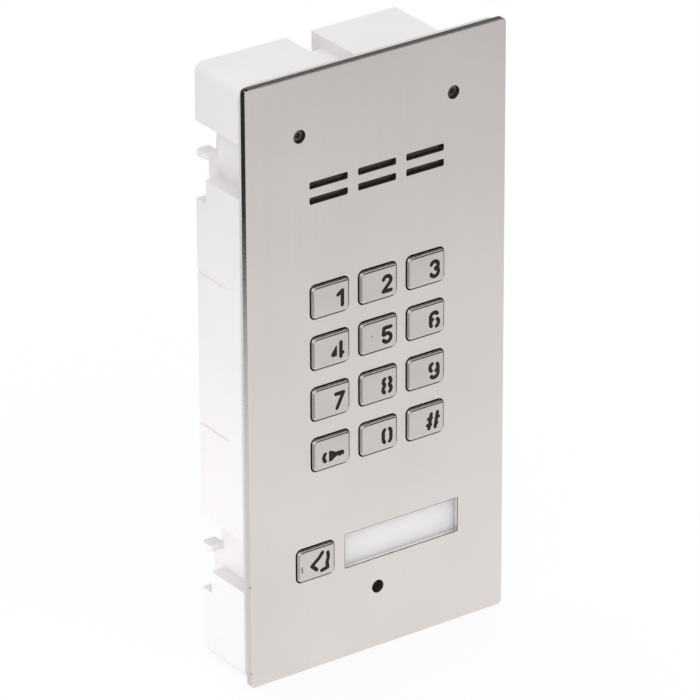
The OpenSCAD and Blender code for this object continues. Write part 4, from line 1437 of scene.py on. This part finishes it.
CARDS: tuple[Card, ...] = (
    Card("flag_above", 0.03, [(-0.5, -0.55, 0.85), (1.8, -0.55, 0.85), (1.8, 0.8, 0.8), (-0.5, 0.8, 0.8)]),
    Card("flag_rear", 0.2, [(-1.2, 0.8, 0.8), (1.8, 0.8, 0.8), (1.6, 1.4, 0.75), (-1.2, 1.4, 0.75)]),
    Card("flag_behind", 0.1, [(-1.2, 1.4, 0.75), (1.6, 1.4, 0.75), (1.6, 1.4, 0.2), (-1.2, 1.4, 0.2)]),
    Card("flag_left", 0.04, [(-0.24, 0.035, -0.104), (-0.07, 0.197, -0.104), (-0.07, 0.197, 0.2),
                             (-0.24, 0.035, 0.2)], foot_grey=0.8, fade=(-0.088, -0.02)),
    Card("shade_left", 0.6, [(-0.24, 0.035, -0.044), (-0.07, 0.197, -0.044), (-0.07, 0.197, 0.2),
                             (-0.24, 0.035, 0.2)], shading=True),
    Card("flag_front", 0.03, [(-0.05, -1.25, -0.104), (1.19, -0.39, -0.104), (1.19, -0.39, 0.54),
                              (-0.05, -1.25, 0.54)]),
    Card("flag_low", 0.42, [(-0.5, -0.35, -0.104), (-0.07, -0.35, -0.104), (-0.07, -0.05, -0.104),
                            (-0.5, -0.05, -0.104)]),
)


@dataclass(frozen=True)
class Lamp:
    """Square lamp that the steel does not mirror.

    Attributes:
        name: Name of the lamp.
        power: Its power in watts.
        side: Length of its side in metres.
        place: Where it hangs.
        aim: Point that it faces.
    """

    name: str
    power: float
    side: float
    place: Point
    aim: Point


LAMPS: tuple[Lamp, ...] = (
    Lamp("soft lamp", 5.0, 1.6, (-0.3, -1.1, 1.4), (0.0, 0.0, 0.0)),
    Lamp("low lamp", 0.04, 0.08, (-0.2, -0.01, -0.06), (-0.04, -0.01, -0.07)),
)


@dataclass
class Studio:
    """Pale floor, soft light, dark flags beside the view and the camera."""

    eye: Vector = Vector((-1.0128, -1.4511, 0.8565))
    ahead: Vector = Vector((0.51747, 0.73422, -0.43950))
    rightwards: Vector = Vector((0.81650, -0.57734, -0.00315))
    focal_pixels: float = 6101.3
    sensor: float = 36.0
    floor_gap: float = 0.2 * MM
    floor_size: float = 30.0
    floor_white: float = 1.0
    floor_glow: float = 0.86
    far_white: float = 0.6
    near_reach: float = 0.1
    far_reach: float = 0.75
    sky_light: float = 0.94
    floor_roughness: float = 0.9
    clip: tuple[float, float] = (0.05, 100.0)

    def build(self) -> None:
        """Builds the whole set."""
        bpy.context.scene.view_settings.view_transform = "Standard"
        self.world()
        self.floor()
        self.flags()
        self.lamps()
        self.camera()

    def camera(self) -> None:
        """Sets the camera where the photograph was taken from."""
        data = bpy.data.cameras.new("camera")
        data.sensor_width = self.sensor
        data.lens = self.focal_pixels / IMAGE_SIDE * self.sensor
        data.clip_start, data.clip_end = self.clip
        camera = bpy.data.objects.new("camera", data)
        back = -self.ahead.normalized()
        right = (self.rightwards - back * self.rightwards.dot(back)).normalized()
        up = back.cross(right)
        turn = Matrix((right, up, back)).transposed().to_4x4()
        camera.matrix_world = Matrix.Translation(self.eye) @ turn
        bpy.context.scene.collection.objects.link(camera)
        bpy.context.scene.camera = camera

    @staticmethod
    def seen(bench: NodeBench) -> Socket:
        """Marks the rays that show the background: straight, mirrored or through glass.

        Args:
            bench: Nodes of the floor or the room.

        Returns:
            1 for such a ray, 0 for the rest.
        """
        path = bench.add("ShaderNodeLightPath").outputs
        mirrored = bench.math("MAXIMUM", path["Is Glossy Ray"], path["Is Transmission Ray"])
        return bench.math("MAXIMUM", path["Is Camera Ray"], mirrored)

    def world(self) -> None:
        """Makes the even light of the room, white where it is seen."""
        world = bpy.data.worlds.new("room")
        bpy.context.scene.world = world
        world.use_nodes = True
        bench = NodeBench(world.node_tree)
        light = world.node_tree.nodes["Background"]
        bench.fill(light, Color=(1.0, 1.0, 1.0, 1.0),
                   Strength=bench.ramp(self.seen(bench), self.sky_light, 1.0))

    def floor(self) -> None:
        """Makes the pale floor, white where it is seen apart from the soft shadow."""
        half = self.floor_size / 2.0
        level = CAD_BOX[0].z - self.floor_gap
        floor = self.sheet("floor", [(-half, -half, level), (half, -half, level), (half, half, level),
                                     (-half, half, level)])
        material, bench, shader = new_material("floor")
        bench.fill(shader, Base_Color=(*(self.floor_white,) * 3, 1.0), Roughness=self.floor_roughness)
        reach = bench.add("ShaderNodeVectorMath", operation="LENGTH", Vector=bench.spot())
        faded = bench.ramp(reach.outputs["Value"], 1.0, self.far_white, self.near_reach, self.far_reach)
        mirrored = bench.add("ShaderNodeLightPath").outputs["Is Glossy Ray"]
        loss = bench.math("MULTIPLY", mirrored, bench.math("SUBTRACT", 1.0, faded))
        glow = bench.add("ShaderNodeEmission", Color=(1.0, 1.0, 1.0, 1.0),
                         Strength=bench.math("SUBTRACT", 1.0, loss))
        mix_surfaces(bench, bench.math("MULTIPLY", self.seen(bench), self.floor_glow), shader, glow)
        floor.data.materials.append(material)

    @staticmethod
    def sheet(name: str, corners: list[Point]) -> Piece:
        """Makes a flat stage sheet from its corners.

        Args:
            name: Name of the sheet.
            corners: Its corners, in metres.

        Returns:
            The sheet.
        """
        mesh = bpy.data.meshes.new(name)
        mesh.from_pydata(corners, [], [tuple(range(len(corners)))])
        sheet = link_mesh(name, mesh)
        return sheet

    def flags(self) -> None:
        """Hangs the grey cards beside the view."""
        for card in CARDS:
            material, bench, shader = new_material(card.name)
            bench.fill(shader, Base_Color=(*(card.grey,) * 3, 1.0), Roughness=1.0)
            if card.foot_grey:
                height = bench.split(bench.spot())["Z"]
                bench.fill(shader, Base_Color=bench.ramp(height, card.foot_grey, card.grey, *card.fade))
            sheet = self.sheet(card.name, card.corners)
            sheet.data.materials.append(material)
            sheet.visible_camera = False
            sheet.visible_shadow = False
            sheet.visible_transmission = False
            sheet.visible_diffuse = card.shading
            sheet.visible_glossy = not card.shading

    def lamps(self) -> None:
        """Hangs one large soft lamp in front, to the left, and a small one low beside the box."""
        for lamp in LAMPS:
            data = bpy.data.lights.new(lamp.name, "AREA")
            data.shape = "SQUARE"
            data.size = lamp.side
            data.energy = lamp.power
            hung = bpy.data.objects.new(lamp.name, data)
            hung.location = lamp.place
            hung.rotation_mode = "QUATERNION"
            hung.rotation_quaternion = (Vector(lamp.aim) - Vector(lamp.place)).to_track_quat("-Z", "Y")
            hung.visible_glossy = False
            bpy.context.scene.collection.objects.link(hung)


def main() -> None:
    """Builds the sub-assemblies in order, then the set."""
    logging.basicConfig(level=logging.INFO, format="%(name)s %(message)s")
    for kind in (SteelFront, Keypad, NamePlace, SoundPlace, Fixings, WhiteBox, Electronics, Studio):
        LOG.info("building %s", kind.__name__)
        kind().build()


if __name__ == "__main__":
    main()
